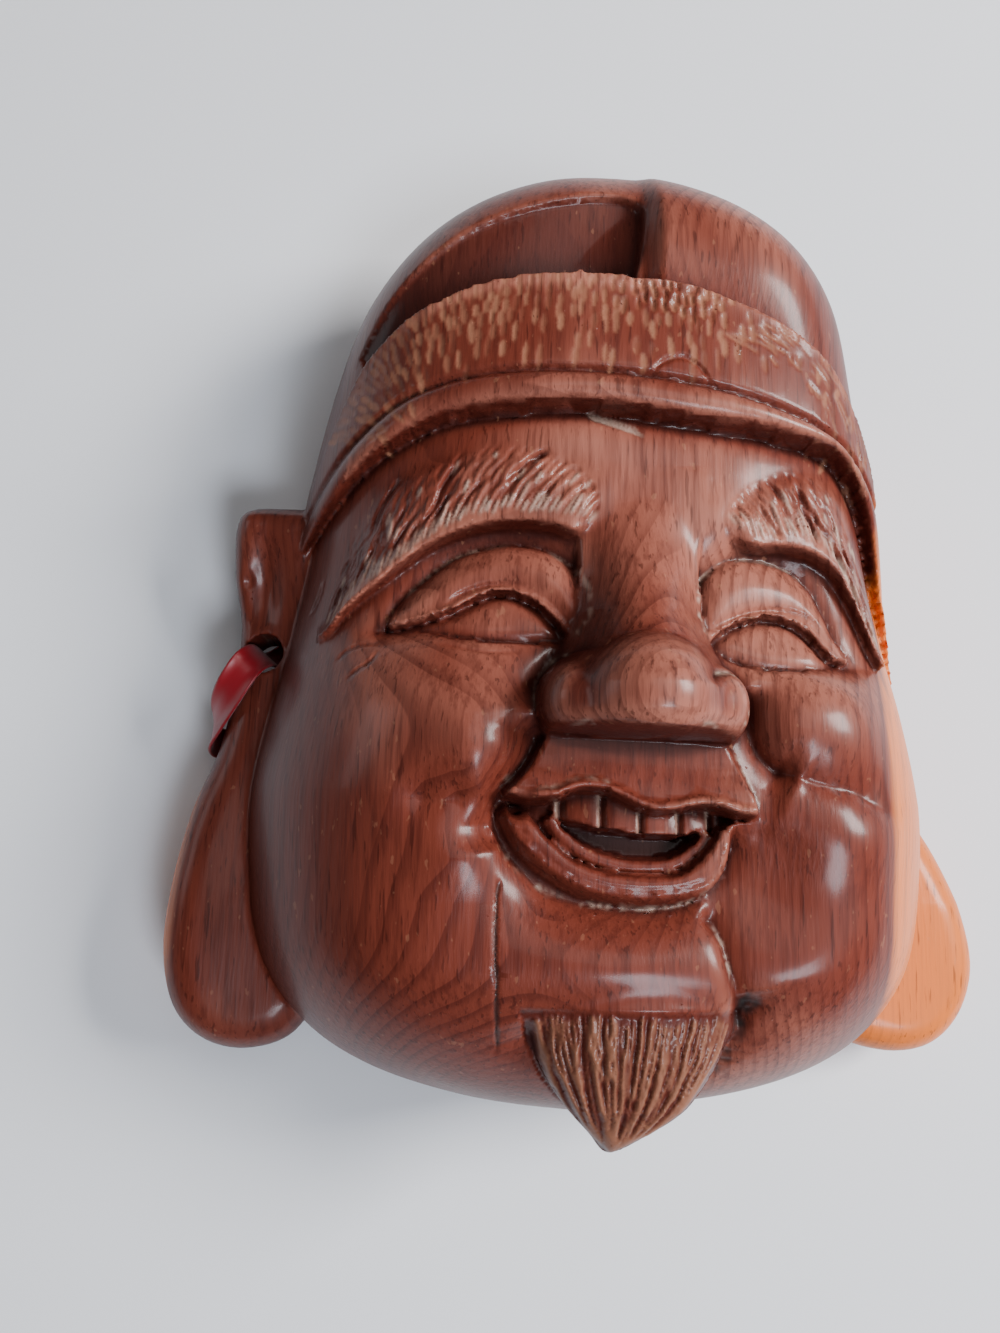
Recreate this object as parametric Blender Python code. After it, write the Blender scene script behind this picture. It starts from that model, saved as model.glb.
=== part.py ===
# A laughing lucky-god mask, carved from one block of wood, with a flat ribbon to hang it by.
# The mask lies on its flat back: +Z comes out of the face, +Y runs up to the cap, metres.

import math

import bpy
import numpy as np

# Driving sizes of the block, in metres
MASK_WIDTH = 0.1560
MASK_LENGTH = 0.1730
MASK_DEPTH = 0.0745

# The hollow cut into the back
BACK_RIM = 0.0105
FRONT_WALL = 0.0170

# The two holes beside the ears, the arch under each ear, and the hanging ribbon that runs through them
HOLE_RADIUS = 0.0038
HOLE_AT = [(-61.5, -4.0, 26.0), (57.0, -2.0, 15.5)]
ARCH_HEIGHT = 0.0050
RIBBON_WIDTH = 0.0060
RIBBON_THICKNESS = 0.0009

# How finely the solid is cut into faces
CELL = 0.0017
MASK_FACES = 8800
FLAT_BELOW = 0.0002

# The carving is drawn on a sheet of these units, which the driving sizes stretch to the block.
SHEET_WIDTH = 156.0
SHEET_LENGTH = 173.0
SHEET_DEPTH = 74.5
UNIT = np.array([MASK_WIDTH / SHEET_WIDTH, MASK_LENGTH / SHEET_LENGTH, MASK_DEPTH / SHEET_DEPTH])
FACE_SHIFT = 3.5
SHEET_MIDDLE = np.array([1.2, 0.6, 0.0])

# Half of the head's outline, from the top of the cap down to the chin: half width, place up the face
HEAD_OUTLINE = [(0, 87), (12, 86), (25, 81.5), (36, 74), (45, 63), (50.5, 50), (54, 38), (56.5, 25),
                (57, 12), (57.5, 0), (60, -13), (62.3, -27), (63, -40), (61.5, -52), (57, -63),
                (48.5, -72), (37, -78), (22, -82), (8, -84), (0, -84.5)]
# The ears: a rim beside the temple that widens into a long lobe beside the jaw. The block ran out
# on the right, so the right ear's upper rim is narrow and lies further back.
LEFT_EAR = [(-50, 22), (-60, 24.5), (-67.4, 22.5), (-68.4, 12), (-67, -1), (-69, -20), (-73.6, -34),
            (-76, -48), (-76.5, -60), (-73.9, -70), (-67.6, -75.8), (-59, -77), (-51, -73), (-46, -60),
            (-48, -20), (-46, 5)]
RIGHT_EAR = [(50, 20), (57, 20), (61, 17), (62.6, 8), (62.4, -4), (63.4, -16), (67.4, -27), (73.8, -39),
             (78.2, -51), (79.4, -61), (76.2, -70), (69.5, -75.8), (60, -76.8), (51, -73), (46, -60),
             (48, -20), (46, 5)]
BEARD_OUTLINE = [(-16, -58), (-15.5, -65), (-13, -72), (-9.5, -77.5), (-5, -82.5), (-1.5, -86), (4, -83),
                 (10, -78.5), (14.5, -72), (17, -65), (17, -58), (0, -54)]


def spline(points, steps=6, closed=False):
    """A smooth line through the points, as a Catmull-Rom curve."""
    p = np.array(points, float)
    ends = (p[-1:], p[:2]) if closed else (2 * p[:1] - p[1:2], 2 * p[-1:] - p[-2:-1])
    p = np.vstack([ends[0], p, ends[1]])
    t = np.linspace(0, 1, steps, endpoint=False)[:, None]
    line = []
    for a, b, c, d in zip(p, p[1:], p[2:], p[3:]):
        line.append(0.5 * (2 * b + (c - a) * t + (2 * a - 5 * b + 4 * c - d) * t ** 2
                           + (3 * b - a - 3 * c + d) * t ** 3))
    if not closed:
        line.append(p[-2:-1])
    return np.vstack(line)


def mirrored(half):
    """A closed outline from its right half, which starts and ends on the middle line."""
    return half + [(-x, y) for x, y in reversed(half[1:-1])]


def other_side(line):
    """The same line on the face's other half, still drawn from the viewer's left to right."""
    return [(-u, y) for u, y in reversed(line)]


def smooth_max(a, b, blend):
    h = np.maximum(blend - np.abs(a - b), 0) / blend
    return np.maximum(a, b) + h * h * blend / 4


def ramp(value, start, end):
    """0 before start, 1 after end, and a soft S between them."""
    t = np.clip((value - start) / (end - start), 0, 1)
    return t * t * (3 - 2 * t)


def rounded_corner(a, b, radius):
    """Where two carved faces meet, as negative-inside distances, with an outer edge of that radius."""
    u, v = a + radius, b + radius
    return np.minimum(np.maximum(u, v), 0) + np.hypot(np.maximum(u, 0), np.maximum(v, 0)) - radius


class Sheet:
    """A top view of the block: at each place, how high the carved surface stands."""

    def __init__(self, step):
        self.x = np.arange(-84, 84 + step, step)
        self.y = np.arange(-92, 92 + step, step)
        self.X, self.Y = np.meshgrid(self.x, self.y, indexing="ij")
        self.U = self.X - FACE_SHIFT
        self.height = np.zeros_like(self.X)

    def window(self, line, reach):
        """The part of the sheet within reach of a line."""
        low, high = np.min(line, axis=0) - reach, np.max(line, axis=0) + reach
        i = np.searchsorted(self.x, [low[0] + FACE_SHIFT, high[0] + FACE_SHIFT])
        j = np.searchsorted(self.y, [low[1], high[1]])
        return slice(*i), slice(*j)

    def distance(self, line, closed=False, reach=16.0):
        """Distance to a line, the share along it of the nearest place, and the side of it.

        On a line drawn from the viewer's left to right, the side above it is positive."""
        part = self.window(line, reach)
        far, share, side = (np.full(self.X.shape, value) for value in (99.0, 0.0, 1.0))
        u, y = self.U[part], self.Y[part]
        best, at, hand = np.full(u.shape, 1e9), np.zeros(u.shape), np.ones(u.shape)
        ends = np.roll(line, -1, axis=0) if closed else line[1:]
        for i, (a, b) in enumerate(zip(line, ends)):
            d = b - a
            px, py = u - a[0], y - a[1]
            t = np.clip((px * d[0] + py * d[1]) / max(d @ d, 1e-9), 0, 1)
            gap = np.hypot(px - t * d[0], py - t * d[1])
            nearer = gap < best
            best = np.where(nearer, gap, best)
            at = np.where(nearer, (i + t) / len(ends), at)
            hand = np.where(nearer, np.sign(d[0] * py - d[1] * px), hand)
        far[part], share[part], side[part] = best, at, hand
        return far, share, side

    def inside(self, outline, shift=0.0, reach=16.0):
        """Signed distance to a closed outline, negative inside it."""
        outline = np.array(outline, float) + [shift, 0]
        far, _, _ = self.distance(outline, closed=True, reach=reach)
        part = self.window(outline, 1.0)
        u, y = self.U[part], self.Y[part]
        crossings = np.zeros(u.shape, int)
        for a, b in zip(outline, np.roll(outline, -1, axis=0)):
            spans = (a[1] > y) != (b[1] > y)
            at = a[0] + (y - a[1]) * (b[0] - a[0]) / (b[1] - a[1] + 1e-12)
            crossings += spans & (u < at)
        far[part] = np.where(crossings % 2 == 1, -far[part], far[part])
        return far

    def swell(self, u, y, wide, long, rise, turn=0.0):
        """A soft bulge, or with a negative rise a soft hollow."""
        c, s = math.cos(turn), math.sin(turn)
        du, dy = self.U - u, self.Y - y
        r = ((du * c + dy * s) / wide) ** 2 + ((dy * c - du * s) / long) ** 2
        self.height += rise * np.exp(-r)

    def crease(self, line, depth, above, below, taper=0.15):
        """A gouged line that falls off over one width above it and another below it."""
        far, share, side = self.distance(spline(line))
        reach = np.where(side > 0, above, below)
        ends = np.clip(np.minimum(share, 1 - share) / taper, 0, 1)
        self.height -= depth * ends * np.exp(-far / reach)

    def bead(self, line, rise, half_width, taper=0.12):
        """A rounded raised line."""
        far, share, _ = self.distance(spline(line))
        ends = np.clip(np.minimum(share, 1 - share) / taper, 0, 1) ** 0.5
        self.height += rise * ends * np.sqrt(np.clip(1 - (far / half_width) ** 2, 0, 1))

    def level(self, outline, height, soft=0.8, over=0.0):
        """Cuts or raises the place inside an outline to a height, across a soft edge."""
        edge = self.inside(outline)
        keep = ramp(-edge, -over, soft)
        self.height += keep * (height - self.height)
        return edge


def carve_head(sheet):
    """The broad dome of the head: a high forehead, full round cheeks and heavy jowls."""
    up = np.array([-92, -75, -60, -45, -30, -15, 0, 12, 22, 32, 45, 60, 75, 92])
    middle = [43, 50, 53, 53, 55, 55, 54, 53, 54, 55, 54.5, 52, 47.5, 41]
    fall_up = [-92, -60, -30, 0, 20, 45, 70, 92]
    fall = [8, 8, 9, 13, 15, 17, 16, 14]
    smooth = spline(np.stack([up, middle], axis=1), 8)
    sheet.height = (np.interp(sheet.Y, smooth[:, 0], smooth[:, 1])
                    - np.interp(sheet.Y, fall_up, fall) * (np.abs(sheet.U) / 50) ** 2.4)
    for side in (-1, 1):
        sheet.swell(side * 33, -18, 16, 15, 5)
        sheet.swell(side * 36, -47, 20, 19, 4.5)


def carve_cheeks(sheet):
    """The cheeks bulge over the folds of the smile, with a valley between cheek and jowl."""
    sheet.swell(-24, -24, 8, 9, 3.0)
    sheet.swell(-27, -38, 9, 8, 2.2)
    sheet.swell(31, -15, 10, 8, 1.0)
    sheet.swell(35, -36, 12, 6, 1.3)
    sheet.crease(other_side([(24, -30), (30, -31.5), (38, -30.5)]), 2.4, 4.5, 5.5, taper=0.3)
    sheet.crease([(22.7, -24.5), (25.7, -26), (29.8, -27.3), (35.1, -28.2), (39.4, -30.2), (45, -33)], 2.6, 4.5, 2.8,
                 taper=0.3)
    sheet.swell(22, -41, 8, 11, -2.2)
    sheet.crease(other_side([(15.3, -18), (16, -22), (18, -26), (21.5, -30), (23, -34), (22, -39)]), 4.8, 4.0, 4.0,
                 taper=0.16)
    sheet.crease([(17.2, -12.5), (18.4, -15), (18.9, -19), (20.2, -22.5), (22.6, -25), (26, -26.6)], 4.6, 2.6, 4.6,
                 taper=0.16)


def carve_chin(sheet):
    sheet.swell(-3, -55.5, 17, 7.5, 3.2)
    sheet.crease([(10.6, -47.8), (12.7, -49.3), (14.2, -51.8), (15.2, -55.2), (16.2, -58.2), (17, -61), (17.4, -66)],
                 2.9, 4.2, 0.9)
    sheet.crease([(6, -84), (12, -78), (16, -71), (18.2, -65), (17, -60)], 3.5, 1.2, 4.5)
    sheet.crease(other_side([(4, -84), (9, -78), (13.5, -71), (16, -64)]), 2.0, 1.0, 4.0)


def carve_nose(sheet):
    """A short broad nose: a flat bridge that widens into a round bulb with a wing on each side."""
    up = [-24.2, -23, -21, -18, -14, -10, -6, -1, 5, 11, 18, 24]
    rise = [0, 11, 16.5, 18.5, 18.2, 15.5, 12, 8.8, 6, 3.6, 1.2, 0]
    wide = [9, 12, 14.5, 16.2, 16.2, 14.8, 12.2, 10.5, 10, 10, 11, 12]
    blunt = [0.5, 0.5, 0.5, 0.55, 0.7, 0.85, 1.0, 1.2, 1.4, 1.5, 1.6, 1.6]
    top = np.interp(sheet.Y, up, rise)
    across = np.clip(1 - (np.abs(sheet.U - 0.7) / np.interp(sheet.Y, up, wide)) ** 2, 0, 1)
    on_bridge = top * across ** np.interp(sheet.Y, up, blunt)
    base = 54.0
    sheet.height = np.where(on_bridge > 0, smooth_max(sheet.height, base + on_bridge - 0.5, 1.5), sheet.height)
    bulb = 1 - ((sheet.U - 0.7) / 10.5) ** 2 - ((sheet.Y + 14.5) / 9.0) ** 2
    sheet.height = smooth_max(sheet.height, 60 + 13 * np.sqrt(np.clip(bulb, 0, 1)) - 30 * np.clip(-bulb, 0, 1), 5)
    for side in (-1, 1):
        wing = 1 - ((sheet.U - 0.7 - side * 11) / 5.6) ** 2 - ((sheet.Y + 15.8) / 6.6) ** 2
        sheet.height = smooth_max(sheet.height, 57 + 9.5 * np.sqrt(np.clip(wing, 0, 1)) - 30 * np.clip(-wing, 0, 1), 2.6)
        sheet.swell(0.3 + side * 8.6, -21.3, 2.5, 0.9, -6.5)
    sheet.crease([(-15.7, -17), (-15.3, -12.5), (-13, -9.2), (-9, -7.6), (-6, -8.2)], 2.6, 2.6, 0.9, taper=0.2)
    sheet.crease([(9.6, -14), (9.8, -12.2), (11.6, -11), (14.2, -11), (16.2, -13), (17, -16), (16.4, -19)], 2.0, 1.6, 0.6,
                 taper=0.15)


LEFT_LID = [(-40.3, -3.4), (-38.1, 1.2), (-34.1, 5.1), (-29.8, 8.5), (-25.2, 10.2), (-20, 11), (-14.1, 9.8),
            (-10.1, 7.2), (-7.8, 3.1), (-7.5, -0.6), (-8.8, -3.7), (-10.4, -5.1)]
LEFT_SLIT = [(-40.3, -3.4), (-37.8, -3), (-33.8, -2.1), (-29.8, -0.7), (-26.6, 1), (-23, 2.4), (-20.1, 2.5),
             (-17.2, 1.5), (-14.5, -0.2), (-12.4, -2.5), (-10.4, -5.1)]
LEFT_UNDER = [(-40.3, -3.8), (-37, -3.9), (-32.9, -4.5), (-26.4, -5.8), (-18.4, -6.1), (-11.9, -5.6), (-10.4, -5.1)]
RIGHT_LID = [(12.4, -4.9), (10.5, -1.2), (10.4, 2.2), (11.4, 5.7), (13.7, 7.9), (17.2, 9.6), (22, 10),
             (27.1, 8.8), (31, 5.6), (33.2, 1.3), (34.8, -3), (36.6, -5.8), (36, -7.2)]
RIGHT_SLIT = [(12.4, -4.9), (14.9, -2.7), (18.4, -0.9), (21.9, -0.2), (25.4, -0.3), (28.8, -1.8), (31.2, -4.3),
              (33, -6.4), (36, -7.2)]
RIGHT_UNDER = [(12.4, -4.9), (14.9, -7.3), (18, -8.5), (22.9, -9.2), (28.9, -9), (33, -8.2), (36, -7.2)]


def carve_eyes(sheet):
    """Laughing eyes: a full upper lid with a sharp lip, and under it a sunk crescent of the eyeball."""
    base = sheet.height.copy()
    for lid, slit, under in ((LEFT_LID, LEFT_SLIT, LEFT_UNDER), (RIGHT_LID, RIGHT_SLIT, RIGHT_UNDER)):
        edge = sheet.inside(np.vstack([spline(lid), spline(slit)[::-1]]))
        sheet.height -= 3.0 * np.exp(-np.clip(edge, 0, 99) / 3.2) * (edge > -0.1)
        full = np.sqrt(np.clip(1 - (1 - np.clip(-edge / 6, 0, 1)) ** 2, 0, 1))
        pad = base - 3.0 + 3.4 * full
        far, _, _ = sheet.distance(spline(slit))
        pad = np.maximum(pad, base - 0.3 - 0.5 * far)
        sheet.height = np.where(edge < 0, pad, sheet.height)
        eye = sheet.inside(np.vstack([spline(slit), spline(under)[::-1]]))
        depth = 2.6 + 1.8 * np.exp(-far / 0.9) - 0.6 * ramp(-eye, 0, 2.5)
        sheet.height = np.where(eye < 0, base - depth, sheet.height)
    sheet.crease([(-46, -4.2), (-40.3, -3.8), (-33, -4.6), (-26.4, -5.9), (-18.4, -6.3), (-11, -5.5)], 1.0, 1.4, 2.5)
    sheet.crease([(13, -6), (18, -8.8), (22.9, -9.5), (28.9, -9.3), (35.6, -8), (43, -7)], 1.3, 1.2, 2.5)


LEFT_BROW_EDGE = [(-52.5, -4.9), (-50.3, -3.6), (-47.4, -0.7), (-44.5, 1.6), (-41.3, 3.8), (-38.1, 6.4),
                  (-33.5, 9.6), (-29.4, 11.4), (-24.6, 12.7), (-19, 13.1), (-14.1, 12.6), (-10.2, 11.6), (-6.6, 12.9)]
LEFT_BROW_TOP = [(-53, -1), (-50.6, 6), (-48, 14), (-44.5, 20.6), (-39.1, 25), (-34.1, 27), (-27.5, 28.4),
                 (-21, 28.3), (-14.5, 26.8), (-9, 24), (-5.8, 19.5), (-5.6, 15.5), (-6.6, 12.9)]
RIGHT_BROW_EDGE = [(15.3, 12.5), (19.8, 10.8), (25.2, 11.2), (30.2, 10.5), (34.2, 8.3), (37.2, 4.3), (39.2, 0.4),
                   (41.4, -4.6), (43.2, -7.6)]
RIGHT_BROW_TOP = [(15.3, 12.5), (14.2, 15.5), (16.4, 19.8), (21.3, 23.8), (28.8, 27), (34.9, 26.6), (39.4, 24.7),
                  (43.6, 20.2), (46.4, 13.6), (47.8, 4), (47.5, -4)]


def carve_brows(sheet):
    """Thick brows that sweep out to the temples and overhang the eye sockets."""
    for low, high in ((LEFT_BROW_EDGE, LEFT_BROW_TOP), (RIGHT_BROW_EDGE, RIGHT_BROW_TOP)):
        edge = sheet.inside(np.vstack([spline(low), spline(high)[::-1]]))
        under, _, _ = sheet.distance(spline(low))
        over, _, _ = sheet.distance(spline(high))
        lift = 4.2 * (over / (over + under + 0.01)) ** 0.8 * ramp(over, -0.5, 4.5)
        sheet.height += np.where(edge < 0, lift * ramp(under, 0, 1.1), 0)
    sheet.swell(-6.5, 17, 4.5, 6.5, 1.8)
    sheet.swell(13.8, 14.5, 6, 6.5, 2.2)


LIP_LINE = [(-20.7, -29.7), (-17.3, -30.5), (-14.2, -30.2), (-11.9, -29.9), (-9.9, -28.9), (-8.1, -28.4),
            (-5.8, -28.5), (-3.4, -29.3), (-1.1, -30.4), (1.2, -31.4), (3.6, -31.7), (6.7, -31.3), (9.8, -30.6),
            (12.9, -30.9), (16, -31.8), (19.6, -32)]
MOUTH_EDGE = [(-21, -29.9), (-22.4, -33.5), (-21.3, -37), (-19, -40.6), (-14, -44.6), (-9.3, -46.2),
              (-4.5, -47), (3.5, -47.2), (9.8, -45.8), (13.2, -43.2), (15.2, -39.1), (15.9, -33.5)]
LOWER_LIP = [(-19, -33.4), (-17.4, -36.4), (-15.3, -38.8), (-11.2, -41.7), (-6.5, -43.8), (1.5, -44.8),
             (9.3, -43.8), (12.6, -41.9), (14.2, -37.8), (14.9, -33.2)]
LIP_GROOVE = [(-16.5, -33), (-14.4, -35.6), (-11.9, -38), (-9.4, -39.9), (-4.5, -41.6), (1.9, -42.2),
              (7, -41.8), (10.5, -39.5), (13, -36.3), (14, -33.4)]
GUM = [(-13.2, -33.4), (-10.4, -36.8), (-6.8, -39.2), (-2, -40.6), (2, -41), (6.6, -40.4), (9.8, -38.4), (12.4, -35.2)]
TEETH_EDGE = [(-12.7, -32.7), (-11.2, -33.9), (-8.3, -34.6), (-5.2, -35.3), (-2.1, -35.6), (1.1, -36), (4.2, -36.1),
              (7.4, -36), (10.5, -35.4), (12.9, -34.9), (15.8, -33.6)]
TOOTH_GAPS = [-11.2, -4.8, 1.3, 7.6, 12.7]
TOOTH_CURVE = 0.5


def carve_mouth(sheet):
    """A laughing mouth: a sharp upper lip, a row of teeth, the gum's ridge, and a broad lower lip."""
    under_lip = spline(LIP_LINE) - [0, 1]
    plate = np.vstack([[(-14.2, -19.8), (-15.6, -22.6), (-17, -25.3), (-18.8, -27.6), (-20.8, -29.5)], under_lip,
                       [(19.4, -30.2), (18.2, -27.7), (17.1, -25.4), (15.8, -22.7), (14.6, -20.6)]])
    rise = 55.8 + 1.2 * ramp(-sheet.Y, 24, 31) + 0.03 * np.abs(sheet.U) * ramp(-sheet.Y, 22, 30)
    sheet.level(plate, rise, 1.0)
    lower = np.vstack([spline(MOUTH_EDGE), under_lip[::-1]])
    edge = sheet.inside(lower)
    sheet.height -= 3.4 * np.exp(-np.clip(edge, 0, 99) / 3.0) * ramp(-sheet.Y, 33, 38) * (edge > 0)
    floor = 50.2 + 1.0 * ramp(-sheet.Y, 34, 46)
    sheet.height = np.where(edge < 0, floor, sheet.height)
    band = sheet.inside(np.vstack([spline(LOWER_LIP), spline(LIP_GROOVE)[::-1]]))
    ramp_down, _, _ = sheet.distance(spline(LOWER_LIP))
    lip = 54.8 - 3.6 * np.clip(ramp_down / 2.6, 0, 1) ** 1.5
    sheet.height = np.where((edge < 0) & (band >= 0), np.maximum(sheet.height, np.where(
        sheet.inside(np.vstack([spline(LOWER_LIP), spline(LIP_LINE)[::-1]])) >= 0, lip, 0)), sheet.height)
    sheet.height = np.where(band < 0, 54.0 + 0.8 * np.sqrt(np.clip(-band / 1.3, 0, 1)), sheet.height)
    gum, share, _ = sheet.distance(spline(GUM))
    ring = 52.4 * (share > 0) * (share < 1) - 1.6 * (1 - np.sqrt(np.clip(1 - (gum / 1.4) ** 2, 0, 1)))
    sheet.height = np.where(gum < 1.4, np.maximum(sheet.height, ring), sheet.height)
    cavity = sheet.inside(np.vstack([spline(TEETH_EDGE), [(12.6, -35.6)], spline(GUM)[::-1] + [0, 1.2]]))
    sheet.height = np.where(cavity < -0.1, np.minimum(sheet.height, 48.0), sheet.height)
    teeth = sheet.inside(np.vstack([[(-13, -29), (16.2, -31)], spline(TEETH_EDGE)[::-1]]))
    gaps = [-14.0] + TOOTH_GAPS + [17.0]
    middles = [(a + b) / 2 for a, b in zip(gaps, gaps[1:])]
    halves = [(b - a) / 2 for a, b in zip(gaps, gaps[1:])]
    nearest = np.abs(sheet.U[..., None] - middles).argmin(axis=2)
    off = np.clip(np.abs(sheet.U - np.take(middles, nearest)) / np.take(halves, nearest), 0, 1)
    face = 53.7 - 0.016 * (sheet.U - 1) ** 2 + 0.4 * ramp(-sheet.Y, 31, 35) + TOOTH_CURVE * (np.sqrt(1 - off ** 2) - 1)
    sheet.height = np.where((teeth < 0) & (edge < 0), face, sheet.height)
    sheet.swell(-18.6, -32, 3.2, 1.8, -2.5)
    sheet.bead(LIP_LINE, 1.1, 1.05)


CAP_BAND = [(-60, 10), (-57.2, 15.3), (-51.7, 20.8), (-46.3, 25.6), (-39.4, 29.3), (-32.6, 31.9), (-26, 32.8),
            (-17.9, 33.3), (-13.4, 33.5), (-7.9, 33.4), (0.3, 32.7), (8.1, 31.8), (15.3, 31.4), (20.7, 31.1),
            (26.2, 30.5), (31.3, 30), (34.9, 29.3), (38.2, 27.2), (41.2, 24.2), (43.9, 19.9), (46.5, 14.5), (49, 8)]
BAND_GROOVE = [(-60, 15.5), (-57.4, 19.9), (-52.8, 25.3), (-46.5, 30.8), (-39.6, 35.2), (-32.8, 37.4),
               (-26.2, 38.3), (-18, 38.7), (-6.6, 38.5), (1.7, 38), (11.6, 36.9), (18.3, 35.8), (25.1, 34.4),
               (31.5, 32.6), (37.8, 29.9), (43.5, 25.5), (48, 20), (52, 14)]
CROWN_EDGE = [(-54, 32), (-50, 40), (-46, 46), (-39.4, 50.7), (-33.4, 53.3), (-27.1, 55.3), (-21.6, 56.3),
              (-15.1, 56.9), (-9.6, 57.1), (-4.1, 56.7), (-0.4, 56.1), (7, 55.5), (12.7, 54.2), (17.4, 52.7),
              (22.5, 51.1), (27.5, 49), (33, 46.1), (37, 42.8), (41, 37.5), (44.5, 31), (47, 24)]
HOLLOW_RIM = [(-48.5, 50.5), (-44.5, 57), (-40.8, 61.2), (-34, 66.8), (-25.4, 71.5), (-16.6, 74.4), (-7.8, 76.1),
              (-1.5, 76), (1.6, 73.8), (1.8, 69.7), (0.9, 62), (-0.4, 56.9)]


def carve_cap(sheet):
    """The soft cap: a rolled band across the brow, a full crown, and above it a peak folded to one side."""
    far, share, side = sheet.distance(spline(CAP_BAND), reach=200)
    groove, _, upper = sheet.distance(spline(BAND_GROOVE), reach=200)
    above = side > 0
    on_band = above & (upper < 0)
    half = (far + groove) / 2 + 0.01
    roll = np.sqrt(np.clip(1 - ((far - half) / half) ** 2, 0, 1))
    sheet.height += np.where(on_band, 1.8 + 2.4 * roll, 0)
    sheet.height += np.where(above & (upper >= 0), 1.8 + 1.4 * ramp(groove, 0, 1.5), 0)
    sheet.height -= np.where(above, 0, 2.2 * np.exp(-far / 3.0))
    edge, _, over = sheet.distance(spline(CROWN_EDGE), reach=200)
    peak = over > 0
    sheet.height += np.where(above & ~peak, 1.2 * np.exp(-edge / 4), 0)
    sheet.height -= np.where(peak, 4.2 * np.exp(-edge / 9) * ramp(edge, 0, 0.8) + 1.0, 0)
    hollow = sheet.inside(np.vstack([spline(CROWN_EDGE[2:11]), spline(HOLLOW_RIM)[::-1]]))
    rim, _, _ = sheet.distance(spline(HOLLOW_RIM), reach=40)
    deep = 8.0 * np.interp(sheet.U, [-50, -38, -20, -4, 2], [0.3, 0.6, 0.75, 0.95, 1.0])
    slope = np.clip(rim / (rim + edge + 0.01), 0, 1) ** 0.8
    sheet.height -= np.where(hollow < 0, (0.18 * ramp(rim, 0, 0.9) + 0.82 * slope) * deep, 0)
    sheet.height += np.where(peak, 3.4 * ramp(sheet.U, 1.0, 5) * np.exp(-((sheet.Y - 68) / 15) ** 2), 0)


def face_sheet(step):
    sheet = Sheet(step)
    carve_head(sheet)
    carve_cheeks(sheet)
    carve_brows(sheet)
    carve_eyes(sheet)
    carve_chin(sheet)
    carve_nose(sheet)
    carve_mouth(sheet)
    carve_cap(sheet)
    return sheet


def ear_height(sheet):
    """The ears' front: a raised outer rim at the top, and a lobe that swells towards its foot."""
    left = 21 + 5 * np.clip((sheet.Y - 2) / 20, 0, 1)
    left -= 3.6 * np.exp(-((sheet.X + 62) / 3.2) ** 2 - ((sheet.Y - 9) / 9) ** 2)
    left += 3.2 * np.exp(-((sheet.X + 73) / 14) ** 2 - ((sheet.Y + 56) / 22) ** 2)
    right = 11.5 + 5 * np.clip((-14 - sheet.Y) / 34, 0, 1)
    return np.where(sheet.X < 0, left, right)


def sample(values, sheet, x, y):
    """Values of a map at any places, between its grid points."""
    step = sheet.x[1] - sheet.x[0]
    fx = np.clip((x - sheet.x[0]) / step, 0, len(sheet.x) - 1.001)
    fy = np.clip((y - sheet.y[0]) / step, 0, len(sheet.y) - 1.001)
    i, j = fx.astype(int), fy.astype(int)
    a, b = fx - i, fy - j
    return ((values[i, j] * (1 - b) + values[i, j + 1] * b) * (1 - a)
            + (values[i + 1, j] * (1 - b) + values[i + 1, j + 1] * b) * a)


def mask_field(step):
    """A function of places in the block, negative in the wood and positive outside it."""
    sheet = face_sheet(step)
    head = sheet.inside(spline(mirrored(HEAD_OUTLINE), 6, closed=True), -FACE_SHIFT, 99)
    ears = np.minimum(*(sheet.inside(spline(ear, 6, closed=True), -FACE_SHIFT, 99) for ear in (LEFT_EAR, RIGHT_EAR)))
    beard = sheet.inside(spline(BEARD_OUTLINE, 6, closed=True), 0, 99)
    maps = {"front": sheet.height, "head": head, "ears": ears, "beard": beard,
            "ear_front": ear_height(sheet),
            "edge": np.interp(sheet.Y, [-92, -60, 0, 40, 70, 92], [24, 25, 22, 20, 14, 11])}
    wall_x, wall_z = BACK_RIM / UNIT[0], FRONT_WALL / UNIT[2]
    sheet_arch = ARCH_HEIGHT / UNIT[2] * np.clip((np.abs(sheet.X) - 36) / 6, 0, 1)
    maps["arch"] = sheet_arch * np.interp(sheet.Y, [-42, -27, 20, 34], [0, 1, 1, 0])
    dome = Sheet(step)
    carve_head(dome)
    maps["inner"] = dome.height.clip(0, 52) - wall_z

    def field(x, y, z):
        at = {name: sample(values, sheet, x, y) for name, values in maps.items()}
        tuck = 0.012 * np.clip(20 - z, 0, 20) ** 2
        face = rounded_corner(z - at["front"], at["head"] + tuck, at["edge"])
        ear = rounded_corner(z - at["ear_front"], at["ears"] + 0.4 * tuck, 7.0)
        beard_front = np.interp(y, [-92, -86, -78, -70, -62, -50], [41, 45.5, 51, 54, 55.8, 54])
        beard_front -= 0.018 * (x - FACE_SHIFT - 1) ** 2
        tuft = rounded_corner(z - beard_front, at["beard"], 3.0)
        tuft = np.maximum(tuft, (26 - 0.75 * (y + 70)) - z - 12)
        wood = smooth_max(-face, -tuft, 0.8)
        wood = -smooth_max(wood, -ear, 1.0)
        hollow = rounded_corner(z - at["inner"], at["head"] + wall_x, 20.0)
        wood = smooth_max(wood, -hollow, 1.5)
        for hole_x, hole_y, top in HOLE_AT:
            hole = HOLE_RADIUS / UNIT[0] - np.hypot(x - hole_x, y - hole_y)
            wood = np.maximum(wood, np.minimum(hole, top - z))
        return np.maximum(wood, at["arch"] - z)

    return field


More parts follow.
